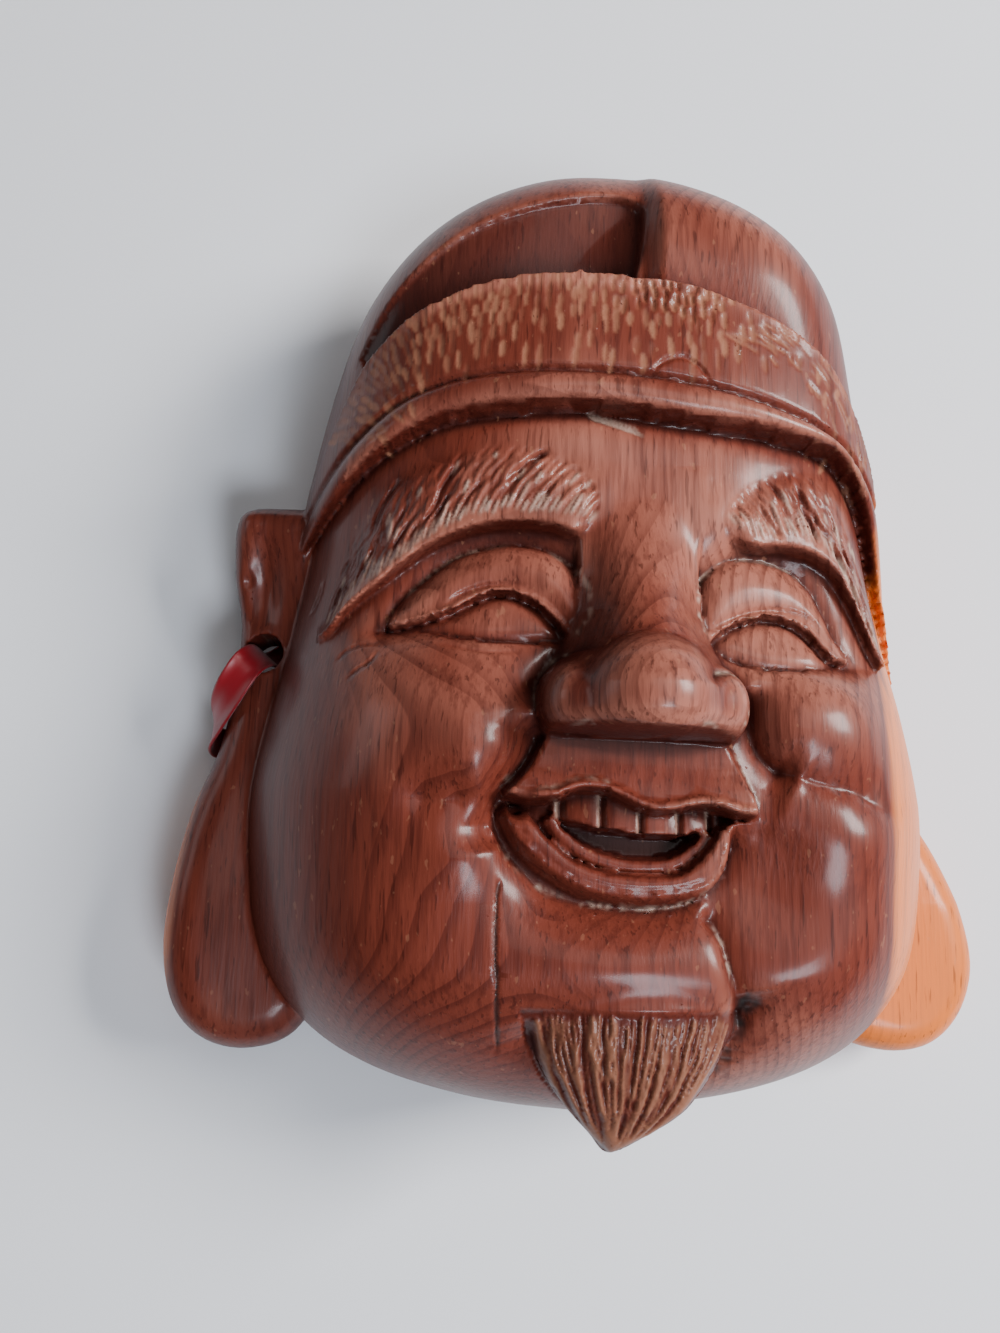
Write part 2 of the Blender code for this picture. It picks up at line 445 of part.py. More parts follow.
def settle(values):
    """Fills the few grid places where the surface would touch itself at an edge or a corner."""
    inside = values < 0
    pairs = [((1, 0, 0), (0, 1, 0)), ((1, 0, 0), (0, 0, 1)), ((0, 1, 0), (0, 0, 1))]
    for _ in range(20):
        before = inside.copy()
        for one, two in pairs:
            size = np.array(inside.shape) - one - np.array(two)
            corners = [(0, 0, 0), one, two, tuple(np.add(one, two))]
            a, b, c, d = (tuple(slice(k, k + n) for k, n in zip(corner, size)) for corner in corners)
            crossed = (inside[a] == inside[d]) & (inside[b] == inside[c]) & (inside[a] != inside[b])
            for part in (a, b, c, d):
                inside[part] |= crossed
        cube = [tuple(slice(k, k + n - 1) for k, n in zip(corner, inside.shape)) for corner in np.ndindex(2, 2, 2)]
        for one in range(4):
            a, b = inside[cube[one]], inside[cube[7 - one]]
            crossed = a == b
            for part in cube[:one] + cube[one + 1:7 - one] + cube[8 - one:]:
                crossed &= inside[part] != a
            for part in cube:
                inside[part] |= crossed
        if (before == inside).all():
            break
    return np.where(inside & (values >= 0), -0.05, values)


def surface_of(field, cell):
    """The carved surface as points and four-sided faces: one point in each cell that it crosses."""
    x, y, z = (np.arange(low, high + cell, cell) for low, high in ((-82, 82), (-92, 92), (-2.4, 78)))
    plane = np.meshgrid(x, y, indexing="ij")
    values = np.stack([field(*plane, np.full_like(plane[0], level)) for level in z], axis=2)
    values = settle(values)
    inside = values < 0
    corner = np.array([[i, j, k] for i in (0, 1) for j in (0, 1) for k in (0, 1)])
    shape = np.array(values.shape) - 1
    cut = [tuple(slice(c, c + n) for c, n in zip(corner[a], shape)) for a in range(8)]
    count_in = sum(inside[c].astype(np.int8) for c in cut)
    base = np.argwhere((count_in > 0) & (count_in < 8))
    number = np.full(shape, -1)
    number[tuple(base.T)] = np.arange(len(base))
    at_corner = np.stack([values[tuple((base + corner[a]).T)] for a in range(8)], axis=1)
    total, count = np.zeros((len(base), 3)), np.zeros(len(base))
    for a in range(8):
        for b in range(a + 1, 8):
            if abs(corner[a] - corner[b]).sum() != 1:
                continue
            va, vb = at_corner[:, a], at_corner[:, b]
            crosses = (va < 0) != (vb < 0)
            t = np.where(crosses, va / np.where(crosses, va - vb, 1), 0)
            total += np.where(crosses[:, None], corner[a] + t[:, None] * (corner[b] - corner[a]), 0)
            count += crosses
    points = (base + total / count[:, None]) * cell + [x[0], y[0], z[0]]
    quads = []
    for axis in range(3):
        one, two = np.eye(3, dtype=int)[(axis + 1) % 3], np.eye(3, dtype=int)[(axis + 2) % 3]
        step = np.eye(3, dtype=int)[axis]
        low = tuple(slice(0 if a == axis else 1, n - (a != axis)) for a, n in enumerate(shape))
        high = tuple(slice(s.start + step[a], s.stop + step[a]) for a, s in enumerate(low))
        at = np.argwhere(inside[low] != inside[high]) + [s.start for s in low]
        leaves = inside[tuple(at.T)]
        ring = np.stack([number[tuple((at - shift).T)] for shift in (0 * one, one, one + two, two)], axis=1)
        quads.append(np.where(leaves[:, None], ring, ring[:, ::-1]))
    return points, np.vstack(quads)


def material(name, colour, roughness):
    made = bpy.data.materials.new(name)
    made.use_nodes = True
    shader = made.node_tree.nodes["Principled BSDF"]
    shader.inputs["Base Color"].default_value = (*colour, 1)
    shader.inputs["Roughness"].default_value = roughness
    return made


def new_object(name, points, faces, finish):
    mesh = bpy.data.meshes.new(name)
    mesh.from_pydata([tuple(p) for p in points], [], [tuple(int(i) for i in f) for f in faces])
    mesh.update()
    thing = bpy.data.objects.new(name, mesh)
    thing.data.materials.append(finish)
    bpy.context.scene.collection.objects.link(thing)
    return thing


def make_mask():
    """The mask's one solid, thinned to a few thousand faces that keep its creases."""
    cell = CELL / UNIT[0]
    points, quads = surface_of(mask_field(0.6), cell)
    points = (points - SHEET_MIDDLE) * UNIT
    wood = material("red_heartwood", (0.16, 0.045, 0.025), 0.35)
    dense = new_object("dense_mask", points, quads, wood)
    thin = dense.modifiers.new("Fewer faces", "DECIMATE")
    thin.ratio = min(1.0, MASK_FACES / (2 * len(quads)))
    ready = dense.evaluated_get(bpy.context.evaluated_depsgraph_get()).to_mesh()
    points = [vertex.co.copy() for vertex in ready.vertices]
    for point in points:
        if point.z < FLAT_BELOW:
            point.z = 0.0
    new_object("carved_mask", points, [face.vertices for face in ready.polygons], wood)
    bpy.data.objects.remove(dense)


# The ribbon's middle line: place, then the direction of its width as a turn in plan and a tilt up.
# It starts at its sewn end, loops round the left ear, drops through the left hole, lies loosely on
# its edge in the hollow, and goes round the right ear to its other end.
RIBBON_LINE = [
    (-37, 5.2, 2.15, 135, 0), (-42, 2.4, 2.15, 135, 0), (-48, -2.8, 2.1, 135, 0),
    (-55, -9.5, 1.7, 133, 0), (-61.8, -15.6, 1.8, 125, 0), (-67, -19.4, 3.1, 108, 0),
    (-70.6, -20.8, 7.0, 88, 0), (-71.4, -19.6, 12.2, 80, 0), (-69.8, -16.0, 17.8, 105, 0),
    (-66.8, -11.4, 22.2, 132, 0), (-63.8, -6.8, 23.2, 138, 0), (-62.1, -4.4, 19, 139, 0),
    (-61.6, -4, 12, 139, 0), (-61.6, -4, 6.5, 139, 0), (-60, -2.2, 2.6, 135, 0),
    (-55, 2.4, 0.95, 128, 0), (-49, 6, 0.8, 115, 0), (-41.5, 8.6, 1.3, 107, 8),
    (-34, 10.6, 3.1, 110, 45), (-26, 15, 3.75, 120, 88), (-17, 24, 3.75, 130, 90),
    (-5, 33, 3.75, 100, 90), (9, 32, 3.75, 60, 90), (16, 21, 3.75, 10, 90), (10, 7, 3.75, -30, 90),
    (-1, -4, 3.75, -35, 90), (-5, -17, 3.75, 10, 90), (3, -28, 3.75, 60, 90), (17, -29, 3.75, 120, 90),
    (26, -20, 3.75, 140, 88), (31, -9.5, 3.6, 140, 50), (37, -3.6, 2.5, 105, 8), (44, -2, 2.2, 90, 0),
    (51, -2, 2.25, 90, 0), (55.6, -2, 3.6, 90, 0), (56.9, -2, 7.2, 90, 0), (57.1, -2, 11, 90, 0),
    (58.4, -2, 13.4, 90, 0), (61, -2, 12.7, 90, 0), (63.3, -2, 9.8, 90, 0), (64, -2, 6, 90, 0),
    (63, -2, 2.5, 90, 0), (60, -2, 0.9, 90, 0), (55, -2, 0.8, 90, 0), (48, -2, 0.8, 90, 0),
    (41, -2, 0.8, 90, 0)]


def make_ribbon():
    """A flat strip swept along the ribbon's middle line."""
    line = np.array(RIBBON_LINE, float)
    turn, tilt = np.radians(line[:, 3]), np.radians(line[:, 4])
    wide = np.stack([np.cos(turn) * np.cos(tilt), np.sin(turn) * np.cos(tilt), np.sin(tilt)], axis=1)
    places, wide = spline(line[:, :3], 3) * UNIT, spline(wide, 3)
    along = np.gradient(places, axis=0)
    along /= np.linalg.norm(along, axis=1)[:, None]
    wide -= (wide * along).sum(axis=1)[:, None] * along
    wide *= RIBBON_WIDTH / 2 / np.linalg.norm(wide, axis=1)[:, None]
    thick = np.cross(along, wide) * RIBBON_THICKNESS / RIBBON_WIDTH
    corners = np.stack([places - wide - thick, places + wide - thick, places + wide + thick,
                        places - wide + thick], axis=1)
    count = len(places)
    faces = [(3, 2, 1, 0), tuple(4 * (count - 1) + i for i in (0, 1, 2, 3))]
    for i in range(count - 1):
        faces += [(4 * i + j, 4 * i + (j + 1) % 4, 4 * i + 4 + (j + 1) % 4, 4 * i + 4 + j) for j in range(4)]
    points = corners.reshape(-1, 3) - SHEET_MIDDLE * UNIT
    new_object("hanging_ribbon", points, faces, material("red_satin", (0.45, 0.01, 0.03), 0.4))


for old in list(bpy.data.objects):
    bpy.data.objects.remove(old)
make_mask()
make_ribbon()
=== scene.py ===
# The laughing mask on its back, dressed over the CAD frame and seen as in the photograph.
import math

import bmesh
import bpy
import numpy as np
from mathutils import Matrix, Vector


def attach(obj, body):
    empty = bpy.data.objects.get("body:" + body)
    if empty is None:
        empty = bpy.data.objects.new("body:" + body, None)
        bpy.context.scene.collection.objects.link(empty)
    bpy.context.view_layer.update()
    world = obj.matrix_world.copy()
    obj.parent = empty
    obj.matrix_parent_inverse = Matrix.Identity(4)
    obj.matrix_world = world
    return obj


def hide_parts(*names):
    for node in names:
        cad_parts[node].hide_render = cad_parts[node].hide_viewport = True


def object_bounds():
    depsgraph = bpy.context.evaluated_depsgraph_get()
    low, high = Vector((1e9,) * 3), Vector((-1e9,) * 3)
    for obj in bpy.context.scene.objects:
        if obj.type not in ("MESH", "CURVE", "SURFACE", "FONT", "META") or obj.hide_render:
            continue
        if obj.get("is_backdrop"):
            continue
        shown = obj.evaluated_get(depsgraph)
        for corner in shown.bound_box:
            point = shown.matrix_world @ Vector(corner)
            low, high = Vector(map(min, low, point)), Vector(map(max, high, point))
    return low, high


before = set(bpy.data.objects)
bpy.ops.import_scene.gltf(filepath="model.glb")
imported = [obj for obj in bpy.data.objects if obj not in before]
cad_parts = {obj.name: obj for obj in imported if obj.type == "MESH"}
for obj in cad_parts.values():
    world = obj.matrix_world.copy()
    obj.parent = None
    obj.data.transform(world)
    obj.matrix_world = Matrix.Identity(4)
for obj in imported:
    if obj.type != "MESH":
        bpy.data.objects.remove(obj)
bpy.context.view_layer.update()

# The mask: one block of red-brown hardwood, carved, stained and varnished.
# It lies on its flat back. Everything but the ribbon is this one piece.
MASK_WIDTH = 0.1560
MASK_LENGTH = 0.1730
MASK_DEPTH = 0.0745
BACK_RIM = 0.0105
FRONT_WALL = 0.0170
HOLE_RADIUS = 0.0038
HOLE_AT = [(-61.5, -4.0, 26.0), (57.0, -2.0, 15.5)]
ARCH_HEIGHT = 0.0050
CARVING_STEP = 0.35
CELL = 0.62
BASE_FACES = 76000
FINE_EDGE = 0.52
HEARTWOOD = (0.135, 0.026, 0.015)
HEARTWOOD_DARK = (0.045, 0.006, 0.004)
# Lighter heartwood for random tone and wear, and for painted light on the forehead and nose.
HEARTWOOD_WORN_AND_LIT = (0.31, 0.105, 0.070)
# Near-black for painted shade in recesses, creases, the mouth and the cap's hollow, and for the wood's dark
# pores.
SHADE_AND_PORE_DARK = (0.018, 0.0015, 0.001)
SAPWOOD = (0.64, 0.155, 0.024)
SAPWOOD_RING = (0.410, 0.110, 0.028)
# Pale fresh wood of the chips and specks, also used as a painted highlight on the beard's ridges.
CUT_WOOD_AND_HIGHLIGHT = (0.42, 0.19, 0.105)
# Pale wax in the grooves and bright splinters, also used as a painted highlight on the teeth's edges.
WAX_AND_HIGHLIGHT = (0.56, 0.42, 0.33)
BARK = (0.020, 0.016, 0.015)
BACK_WOOD = (0.30, 0.12, 0.06)
BACK_RING = (0.14, 0.05, 0.025)
PITH_LEFT = 0.0127
PITH_HEIGHT = 0.030
PITH_LEAN = 0.05
RING_SPACING = 0.0019
HEARTWOOD_ENDS = (0.0612, 0.0636)

# The carving is drawn on a sheet of these units, which the sizes above stretch to the block.
SHEET_WIDTH = 156.0
SHEET_LENGTH = 173.0
SHEET_DEPTH = 74.5
UNIT = np.array([MASK_WIDTH / SHEET_WIDTH, MASK_LENGTH / SHEET_LENGTH, MASK_DEPTH / SHEET_DEPTH])
FACE_SHIFT = 3.5
SHEET_MIDDLE = np.array([1.2, 0.6, 0.0])

# Half of the head's outline, from the top of the cap down to the chin: half width, place up the face
HEAD_OUTLINE = [
    (0, 87), (12, 86), (25, 81.5), (36, 74), (45, 63), (50.5, 50), (54, 38), (56.5, 25), (57, 12),
    (57.5, 0), (60, -13), (62.3, -27), (63, -40), (61.5, -52), (57, -63), (48.5, -72), (37, -78), (22, -82),
    (8, -84), (0, -84.5)]
# The ears: a rim beside the temple that widens into a long lobe beside the jaw. The block ran out
# on the right, so the right ear's upper rim is narrow and lies further back.
LEFT_EAR = [
    (-50, 22), (-60, 24.5), (-67.4, 22.5), (-68.4, 12), (-67, -1), (-69, -20), (-73.6, -34), (-76, -48),
    (-76.5, -60), (-73.9, -70), (-67.6, -75.8), (-59, -77), (-51, -73), (-46, -60), (-48, -20), (-46, 5)]
RIGHT_EAR = [
    (50, 20), (57, 20), (61, 17), (62.6, 8), (62.4, -4), (63.4, -16), (67.4, -27), (73.8, -39), (78.2, -51),
    (79.4, -61), (76.2, -70), (69.5, -75.8), (60, -76.8), (51, -73), (46, -60), (48, -20), (46, 5)]
BEARD_OUTLINE = [
    (-16, -58), (-15.5, -65), (-13, -72), (-9.5, -77.5), (-5, -82.5), (-1.5, -86), (4, -83), (10, -78.5),
    (14.5, -72), (17, -65), (17, -58), (0, -54)]


def spline(points, steps=6, closed=False):
    """A smooth line through the points, as a Catmull-Rom curve."""
    p = np.array(points, float)
    ends = (p[-1:], p[:2]) if closed else (2 * p[:1] - p[1:2], 2 * p[-1:] - p[-2:-1])
    p = np.vstack([ends[0], p, ends[1]])
    t = np.linspace(0, 1, steps, endpoint=False)[:, None]
    line = []
    for a, b, c, d in zip(p, p[1:], p[2:], p[3:]):
        line.append(0.5 * (2 * b + (c - a) * t + (2 * a - 5 * b + 4 * c - d) * t ** 2
                           + (3 * b - a - 3 * c + d) * t ** 3))
    if not closed:
        line.append(p[-2:-1])
    return np.vstack(line)


def mirrored(half):
    """A closed outline from its right half, which starts and ends on the middle line."""
    return half + [(-x, y) for x, y in reversed(half[1:-1])]


def other_side(line):
    """The same line on the face's other half, still drawn from the viewer's left to right."""
    return [(-u, y) for u, y in reversed(line)]


def smooth_max(a, b, blend):
    h = np.maximum(blend - np.abs(a - b), 0) / blend
    return np.maximum(a, b) + h * h * blend / 4


def ramp(value, start, end):
    """0 before start, 1 after end, and a soft S between them."""
    t = np.clip((value - start) / (end - start), 0, 1)
    return t * t * (3 - 2 * t)


def rounded_corner(a, b, radius):
    """Where two carved faces meet, as negative-inside distances, with an outer edge of that radius."""
    u, v = a + radius, b + radius
    return np.minimum(np.maximum(u, v), 0) + np.hypot(np.maximum(u, 0), np.maximum(v, 0)) - radius


class Sheet:
    """A top view of the block: at each place, how high the carved surface stands."""

    def __init__(self, step):
        self.x = np.arange(-84, 84 + step, step)
        self.y = np.arange(-92, 92 + step, step)
        self.X, self.Y = np.meshgrid(self.x, self.y, indexing="ij")
        self.U = self.X - FACE_SHIFT
        self.height = np.zeros_like(self.X)

    def window(self, line, reach):
        """The part of the sheet within reach of a line."""
        low, high = np.min(line, axis=0) - reach, np.max(line, axis=0) + reach
        i = np.searchsorted(self.x, [low[0] + FACE_SHIFT, high[0] + FACE_SHIFT])
        j = np.searchsorted(self.y, [low[1], high[1]])
        return slice(*i), slice(*j)

    def distance(self, line, closed=False, reach=16.0):
        """Distance to a line, the share along it of the nearest place, and the side of it.

        On a line drawn from the viewer's left to right, the side above it is positive."""
        part = self.window(line, reach)
        far, share, side = (np.full(self.X.shape, value) for value in (99.0, 0.0, 1.0))
        u, y = self.U[part], self.Y[part]
        best, at, hand = np.full(u.shape, 1e9), np.zeros(u.shape), np.ones(u.shape)
        ends = np.roll(line, -1, axis=0) if closed else line[1:]
        for i, (a, b) in enumerate(zip(line, ends)):
            d = b - a
            px, py = u - a[0], y - a[1]
            t = np.clip((px * d[0] + py * d[1]) / max(d @ d, 1e-9), 0, 1)
            gap = np.hypot(px - t * d[0], py - t * d[1])
            nearer = gap < best
            best = np.where(nearer, gap, best)
            at = np.where(nearer, (i + t) / len(ends), at)
            hand = np.where(nearer, np.sign(d[0] * py - d[1] * px), hand)
        far[part], share[part], side[part] = best, at, hand
        return far, share, side

    def inside(self, outline, shift=0.0, reach=16.0):
        """Signed distance to a closed outline, negative inside it."""
        outline = np.array(outline, float) + [shift, 0]
        far, _, _ = self.distance(outline, closed=True, reach=reach)
        part = self.window(outline, 1.0)
        u, y = self.U[part], self.Y[part]
        crossings = np.zeros(u.shape, int)
        for a, b in zip(outline, np.roll(outline, -1, axis=0)):
            spans = (a[1] > y) != (b[1] > y)
            at = a[0] + (y - a[1]) * (b[0] - a[0]) / (b[1] - a[1] + 1e-12)
            crossings += spans & (u < at)
        far[part] = np.where(crossings % 2 == 1, -far[part], far[part])
        return far

    def swell(self, u, y, wide, long, rise, turn=0.0):
        """A soft bulge, or with a negative rise a soft hollow."""
        c, s = math.cos(turn), math.sin(turn)
        du, dy = self.U - u, self.Y - y
        r = ((du * c + dy * s) / wide) ** 2 + ((dy * c - du * s) / long) ** 2
        self.height += rise * np.exp(-r)

    def crease(self, line, depth, above, below, taper=0.15):
        """A gouged line that falls off over one width above it and another below it."""
        far, share, side = self.distance(spline(line))
        reach = np.where(side > 0, above, below)
        ends = np.clip(np.minimum(share, 1 - share) / taper, 0, 1)
        self.height -= depth * ends * np.exp(-far / reach)

    def bead(self, line, rise, half_width, taper=0.12):
        """A rounded raised line."""
        far, share, _ = self.distance(spline(line))
        ends = np.clip(np.minimum(share, 1 - share) / taper, 0, 1) ** 0.5
        self.height += rise * ends * np.sqrt(np.clip(1 - (far / half_width) ** 2, 0, 1))

    def level(self, outline, height, soft=0.8, over=0.0):
        """Cuts or raises the place inside an outline to a height, across a soft edge."""
        edge = self.inside(outline)
        keep = ramp(-edge, -over, soft)
        self.height += keep * (height - self.height)
        return edge


def carve_head(sheet):
    """The broad dome of the head: a high forehead, full round cheeks and heavy jowls."""
    up = np.array([-92, -75, -60, -45, -30, -15, 0, 12, 22, 32, 45, 60, 75, 92])
    middle = [43, 50, 53, 53, 55, 55, 54, 53, 54, 55, 54.5, 52, 47.5, 41]
    fall_up = [-92, -60, -30, 0, 20, 45, 70, 92]
    fall = [8, 8, 9, 13, 15, 17, 16, 14]
    smooth = spline(np.stack([up, middle], axis=1), 8)
    sheet.height = (np.interp(sheet.Y, smooth[:, 0], smooth[:, 1])
                    - np.interp(sheet.Y, fall_up, fall) * (np.abs(sheet.U) / 50) ** 2.4)
    for side in (-1, 1):
        sheet.swell(side * 33, -18, 16, 15, 5)
        sheet.swell(side * 36, -47, 20, 19, 4.5)


def carve_cheeks(sheet):
    """The cheeks bulge over the folds of the smile, with a valley between cheek and jowl."""
    sheet.swell(-24, -24, 8, 9, 3.0)
    sheet.swell(-27, -38, 9, 8, 2.2)
    sheet.swell(31, -15, 10, 8, 1.0)
    sheet.swell(35, -36, 12, 6, 1.3)
    sheet.crease(other_side([(24, -30), (30, -31.5), (38, -30.5)]), 2.4, 4.5, 5.5, taper=0.3)
    sheet.crease([(22.7, -24.5), (25.7, -26), (29.8, -27.3), (35.1, -28.2), (39.4, -30.2), (45, -33)],
                 2.6, 4.5, 2.8, taper=0.3)
    sheet.swell(22, -41, 8, 11, -2.2)
    sheet.crease(other_side([(15.3, -18), (16, -22), (18, -26), (21.5, -30), (23, -34), (22, -39)]),
                 4.8, 4.0, 4.0, taper=0.16)
    sheet.crease([(17.2, -12.5), (18.4, -15), (18.9, -19), (20.2, -22.5), (22.6, -25), (26, -26.6)],
                 4.6, 2.6, 4.6, taper=0.16)


def carve_chin(sheet):
    """The chin between its two grooves, and the groove on each side of the beard."""
    sheet.swell(-3, -55.5, 17, 7.5, 3.2)
    sheet.crease([(10.6, -47.8), (12.7, -49.3), (14.2, -51.8), (15.2, -55.2), (16.2, -58.2), (17, -61),
                  (17.4, -66)], 2.9, 4.2, 0.9)
    sheet.crease([(6, -84), (12, -78), (16, -71), (18.2, -65), (17, -60)], 3.5, 1.2, 4.5)
    sheet.crease(other_side([(4, -84), (9, -78), (13.5, -71), (16, -64)]), 2.0, 1.0, 4.0)


def carve_nose(sheet):
    """A short broad nose: a flat bridge that widens into a round bulb with a wing on each side."""
    up = [-24.2, -23, -21, -18, -14, -10, -6, -1, 5, 11, 18, 24]
    rise = [0, 11, 16.5, 18.5, 18.2, 15.5, 12, 8.8, 6, 3.6, 1.2, 0]
    wide = [9, 12, 14.5, 16.2, 16.2, 14.8, 12.2, 10.5, 10, 10, 11, 12]
    blunt = [0.5, 0.5, 0.5, 0.55, 0.7, 0.85, 1.0, 1.2, 1.4, 1.5, 1.6, 1.6]
    top = np.interp(sheet.Y, up, rise)
    across = np.clip(1 - (np.abs(sheet.U - 0.7) / np.interp(sheet.Y, up, wide)) ** 2, 0, 1)
    on_bridge = top * across ** np.interp(sheet.Y, up, blunt)
    bridge = smooth_max(sheet.height, 53.5 + on_bridge, 1.5)
    sheet.height = np.where(on_bridge > 0, bridge, sheet.height)
    bulb = 1 - ((sheet.U - 0.7) / 10.5) ** 2 - ((sheet.Y + 14.5) / 9.0) ** 2
    bulb = 60 + 13 * np.sqrt(np.clip(bulb, 0, 1)) - 30 * np.clip(-bulb, 0, 1)
    sheet.height = smooth_max(sheet.height, bulb, 5)
    for side in (-1, 1):
        wing = 1 - ((sheet.U - 0.7 - side * 11) / 5.6) ** 2 - ((sheet.Y + 15.8) / 6.6) ** 2
        wing = 57 + 9.5 * np.sqrt(np.clip(wing, 0, 1)) - 30 * np.clip(-wing, 0, 1)
        sheet.height = smooth_max(sheet.height, wing, 2.6)
        sheet.swell(0.3 + side * 8.6, -21.3, 2.5, 0.9, -6.5)
    sheet.crease([(-15.7, -17), (-15.3, -12.5), (-13, -9.2), (-9, -7.6), (-6, -8.2)],
                 2.6, 2.6, 0.9, taper=0.2)
    sheet.crease([(9.6, -14), (9.8, -12.2), (11.6, -11), (14.2, -11), (16.2, -13), (17, -16),
                  (16.4, -19)], 2.0, 1.6, 0.6, taper=0.15)


LEFT_LID = [
    (-40.3, -3.4), (-38.1, 1.2), (-34.1, 5.1), (-29.8, 8.5), (-25.2, 10.2), (-20, 11), (-14.1, 9.8),
    (-10.1, 7.2), (-7.8, 3.1), (-7.5, -0.6), (-8.8, -3.7), (-10.4, -5.1)]
LEFT_SLIT = [
    (-40.3, -3.4), (-37.8, -3), (-33.8, -2.1), (-29.8, -0.7), (-26.6, 1), (-23, 2.4), (-20.1, 2.5),
    (-17.2, 1.5), (-14.5, -0.2), (-12.4, -2.5), (-10.4, -5.1)]
LEFT_UNDER = [
    (-40.3, -3.8), (-37, -3.9), (-32.9, -4.5), (-26.4, -5.8), (-18.4, -6.1), (-11.9, -5.6),
    (-10.4, -5.1)]
RIGHT_LID = [
    (12.4, -4.9), (10.5, -1.2), (10.4, 2.2), (11.4, 5.7), (13.7, 7.9), (17.2, 9.6), (22, 10), (27.1, 8.8),
    (31, 5.6), (33.2, 1.3), (34.8, -3), (36.6, -5.8), (36, -7.2)]
RIGHT_SLIT = [
    (12.4, -4.9), (14.9, -2.7), (18.4, -0.9), (21.9, -0.2), (25.4, -0.3), (28.8, -1.8), (31.2, -4.3),
    (33, -6.4), (36, -7.2)]
RIGHT_UNDER = [(12.4, -4.9), (14.9, -7.3), (18, -8.5), (22.9, -9.2), (28.9, -9), (33, -8.2), (36, -7.2)]


def carve_eyes(sheet):
    """Laughing eyes: a full upper lid with a sharp lip, and under it a sunk crescent of the eyeball."""
    base = sheet.height.copy()
    for lid, slit, under in ((LEFT_LID, LEFT_SLIT, LEFT_UNDER), (RIGHT_LID, RIGHT_SLIT, RIGHT_UNDER)):
        edge = sheet.inside(np.vstack([spline(lid), spline(slit)[::-1]]))
        sheet.height -= 3.0 * np.exp(-np.clip(edge, 0, 99) / 3.2) * (edge > -0.1)
        full = np.sqrt(np.clip(1 - (1 - np.clip(-edge / 6, 0, 1)) ** 2, 0, 1))
        pad = base - 3.0 + 3.4 * full
        far, _, _ = sheet.distance(spline(slit))
        pad = np.maximum(pad, base - 0.3 - 0.5 * far)
        sheet.height = np.where(edge < 0, pad, sheet.height)
        eye = sheet.inside(np.vstack([spline(slit), spline(under)[::-1]]))
        depth = 2.6 + 1.8 * np.exp(-far / 0.9) - 0.6 * ramp(-eye, 0, 2.5)
        sheet.height = np.where(eye < 0, base - depth, sheet.height)
    sheet.crease([(-46, -4.2), (-40.3, -3.8), (-33, -4.6), (-26.4, -5.9), (-18.4, -6.3), (-11, -5.5)],
                 1.0, 1.4, 2.5)
    sheet.crease([(13, -6), (18, -8.8), (22.9, -9.5), (28.9, -9.3), (35.6, -8), (43, -7)], 1.3, 1.2, 2.5)


LEFT_BROW_EDGE = [
    (-52.5, -4.9), (-50.3, -3.6), (-47.4, -0.7), (-44.5, 1.6), (-41.3, 3.8), (-38.1, 6.4), (-33.5, 9.6),
    (-29.4, 11.4), (-24.6, 12.7), (-19, 13.1), (-14.1, 12.6), (-10.2, 11.6), (-6.6, 12.9)]
LEFT_BROW_TOP = [
    (-53, -1), (-50.6, 6), (-48, 14), (-44.5, 20.6), (-39.1, 25), (-34.1, 27), (-27.5, 28.4), (-21, 28.3),
    (-14.5, 26.8), (-9, 24), (-5.8, 19.5), (-5.6, 15.5), (-6.6, 12.9)]
RIGHT_BROW_EDGE = [
    (15.3, 12.5), (19.8, 10.8), (25.2, 11.2), (30.2, 10.5), (34.2, 8.3), (37.2, 4.3), (39.2, 0.4),
    (41.4, -4.6), (43.2, -7.6)]
RIGHT_BROW_TOP = [
    (15.3, 12.5), (14.2, 15.5), (16.4, 19.8), (21.3, 23.8), (28.8, 27), (34.9, 26.6), (39.4, 24.7),
    (43.6, 20.2), (46.4, 13.6), (47.8, 4), (47.5, -4)]


def carve_brows(sheet):
    """Thick brows that sweep out to the temples and overhang the eye sockets."""
    for low, high in ((LEFT_BROW_EDGE, LEFT_BROW_TOP), (RIGHT_BROW_EDGE, RIGHT_BROW_TOP)):
        edge = sheet.inside(np.vstack([spline(low), spline(high)[::-1]]))
        under, _, _ = sheet.distance(spline(low))
        over, _, _ = sheet.distance(spline(high))
        lift = 4.2 * (over / (over + under + 0.01)) ** 0.8 * ramp(over, -0.5, 4.5)
        sheet.height += np.where(edge < 0, lift * ramp(under, 0, 1.1), 0)
    sheet.swell(-6.5, 17, 4.5, 6.5, 1.8)
    sheet.swell(13.8, 14.5, 6, 6.5, 2.2)


LIP_LINE = [
    (-20.7, -29.7), (-17.3, -30.5), (-14.2, -30.2), (-11.9, -29.9), (-9.9, -28.9), (-8.1, -28.4),
    (-5.8, -28.5), (-3.4, -29.3), (-1.1, -30.4), (1.2, -31.4), (3.6, -31.7), (6.7, -31.3), (9.8, -30.6),
    (12.9, -30.9), (16, -31.8), (19.6, -32)]
MOUTH_EDGE = [
    (-21, -29.9), (-22.4, -33.5), (-21.3, -37), (-19, -40.6), (-14, -44.6), (-9.3, -46.2), (-4.5, -47),
    (3.5, -47.2), (9.8, -45.8), (13.2, -43.2), (15.2, -39.1), (15.9, -33.5)]
LOWER_LIP = [
    (-19, -33.4), (-17.4, -36.4), (-15.3, -38.8), (-11.2, -41.7), (-6.5, -43.8), (1.5, -44.8), (9.3, -43.8),
    (12.6, -41.9), (14.2, -37.8), (14.9, -33.2)]
LIP_GROOVE = [
    (-16.5, -33), (-14.4, -35.6), (-11.9, -38), (-9.4, -39.9), (-4.5, -41.6), (1.9, -42.2), (7, -41.8),
    (10.5, -39.5), (13, -36.3), (14, -33.4)]
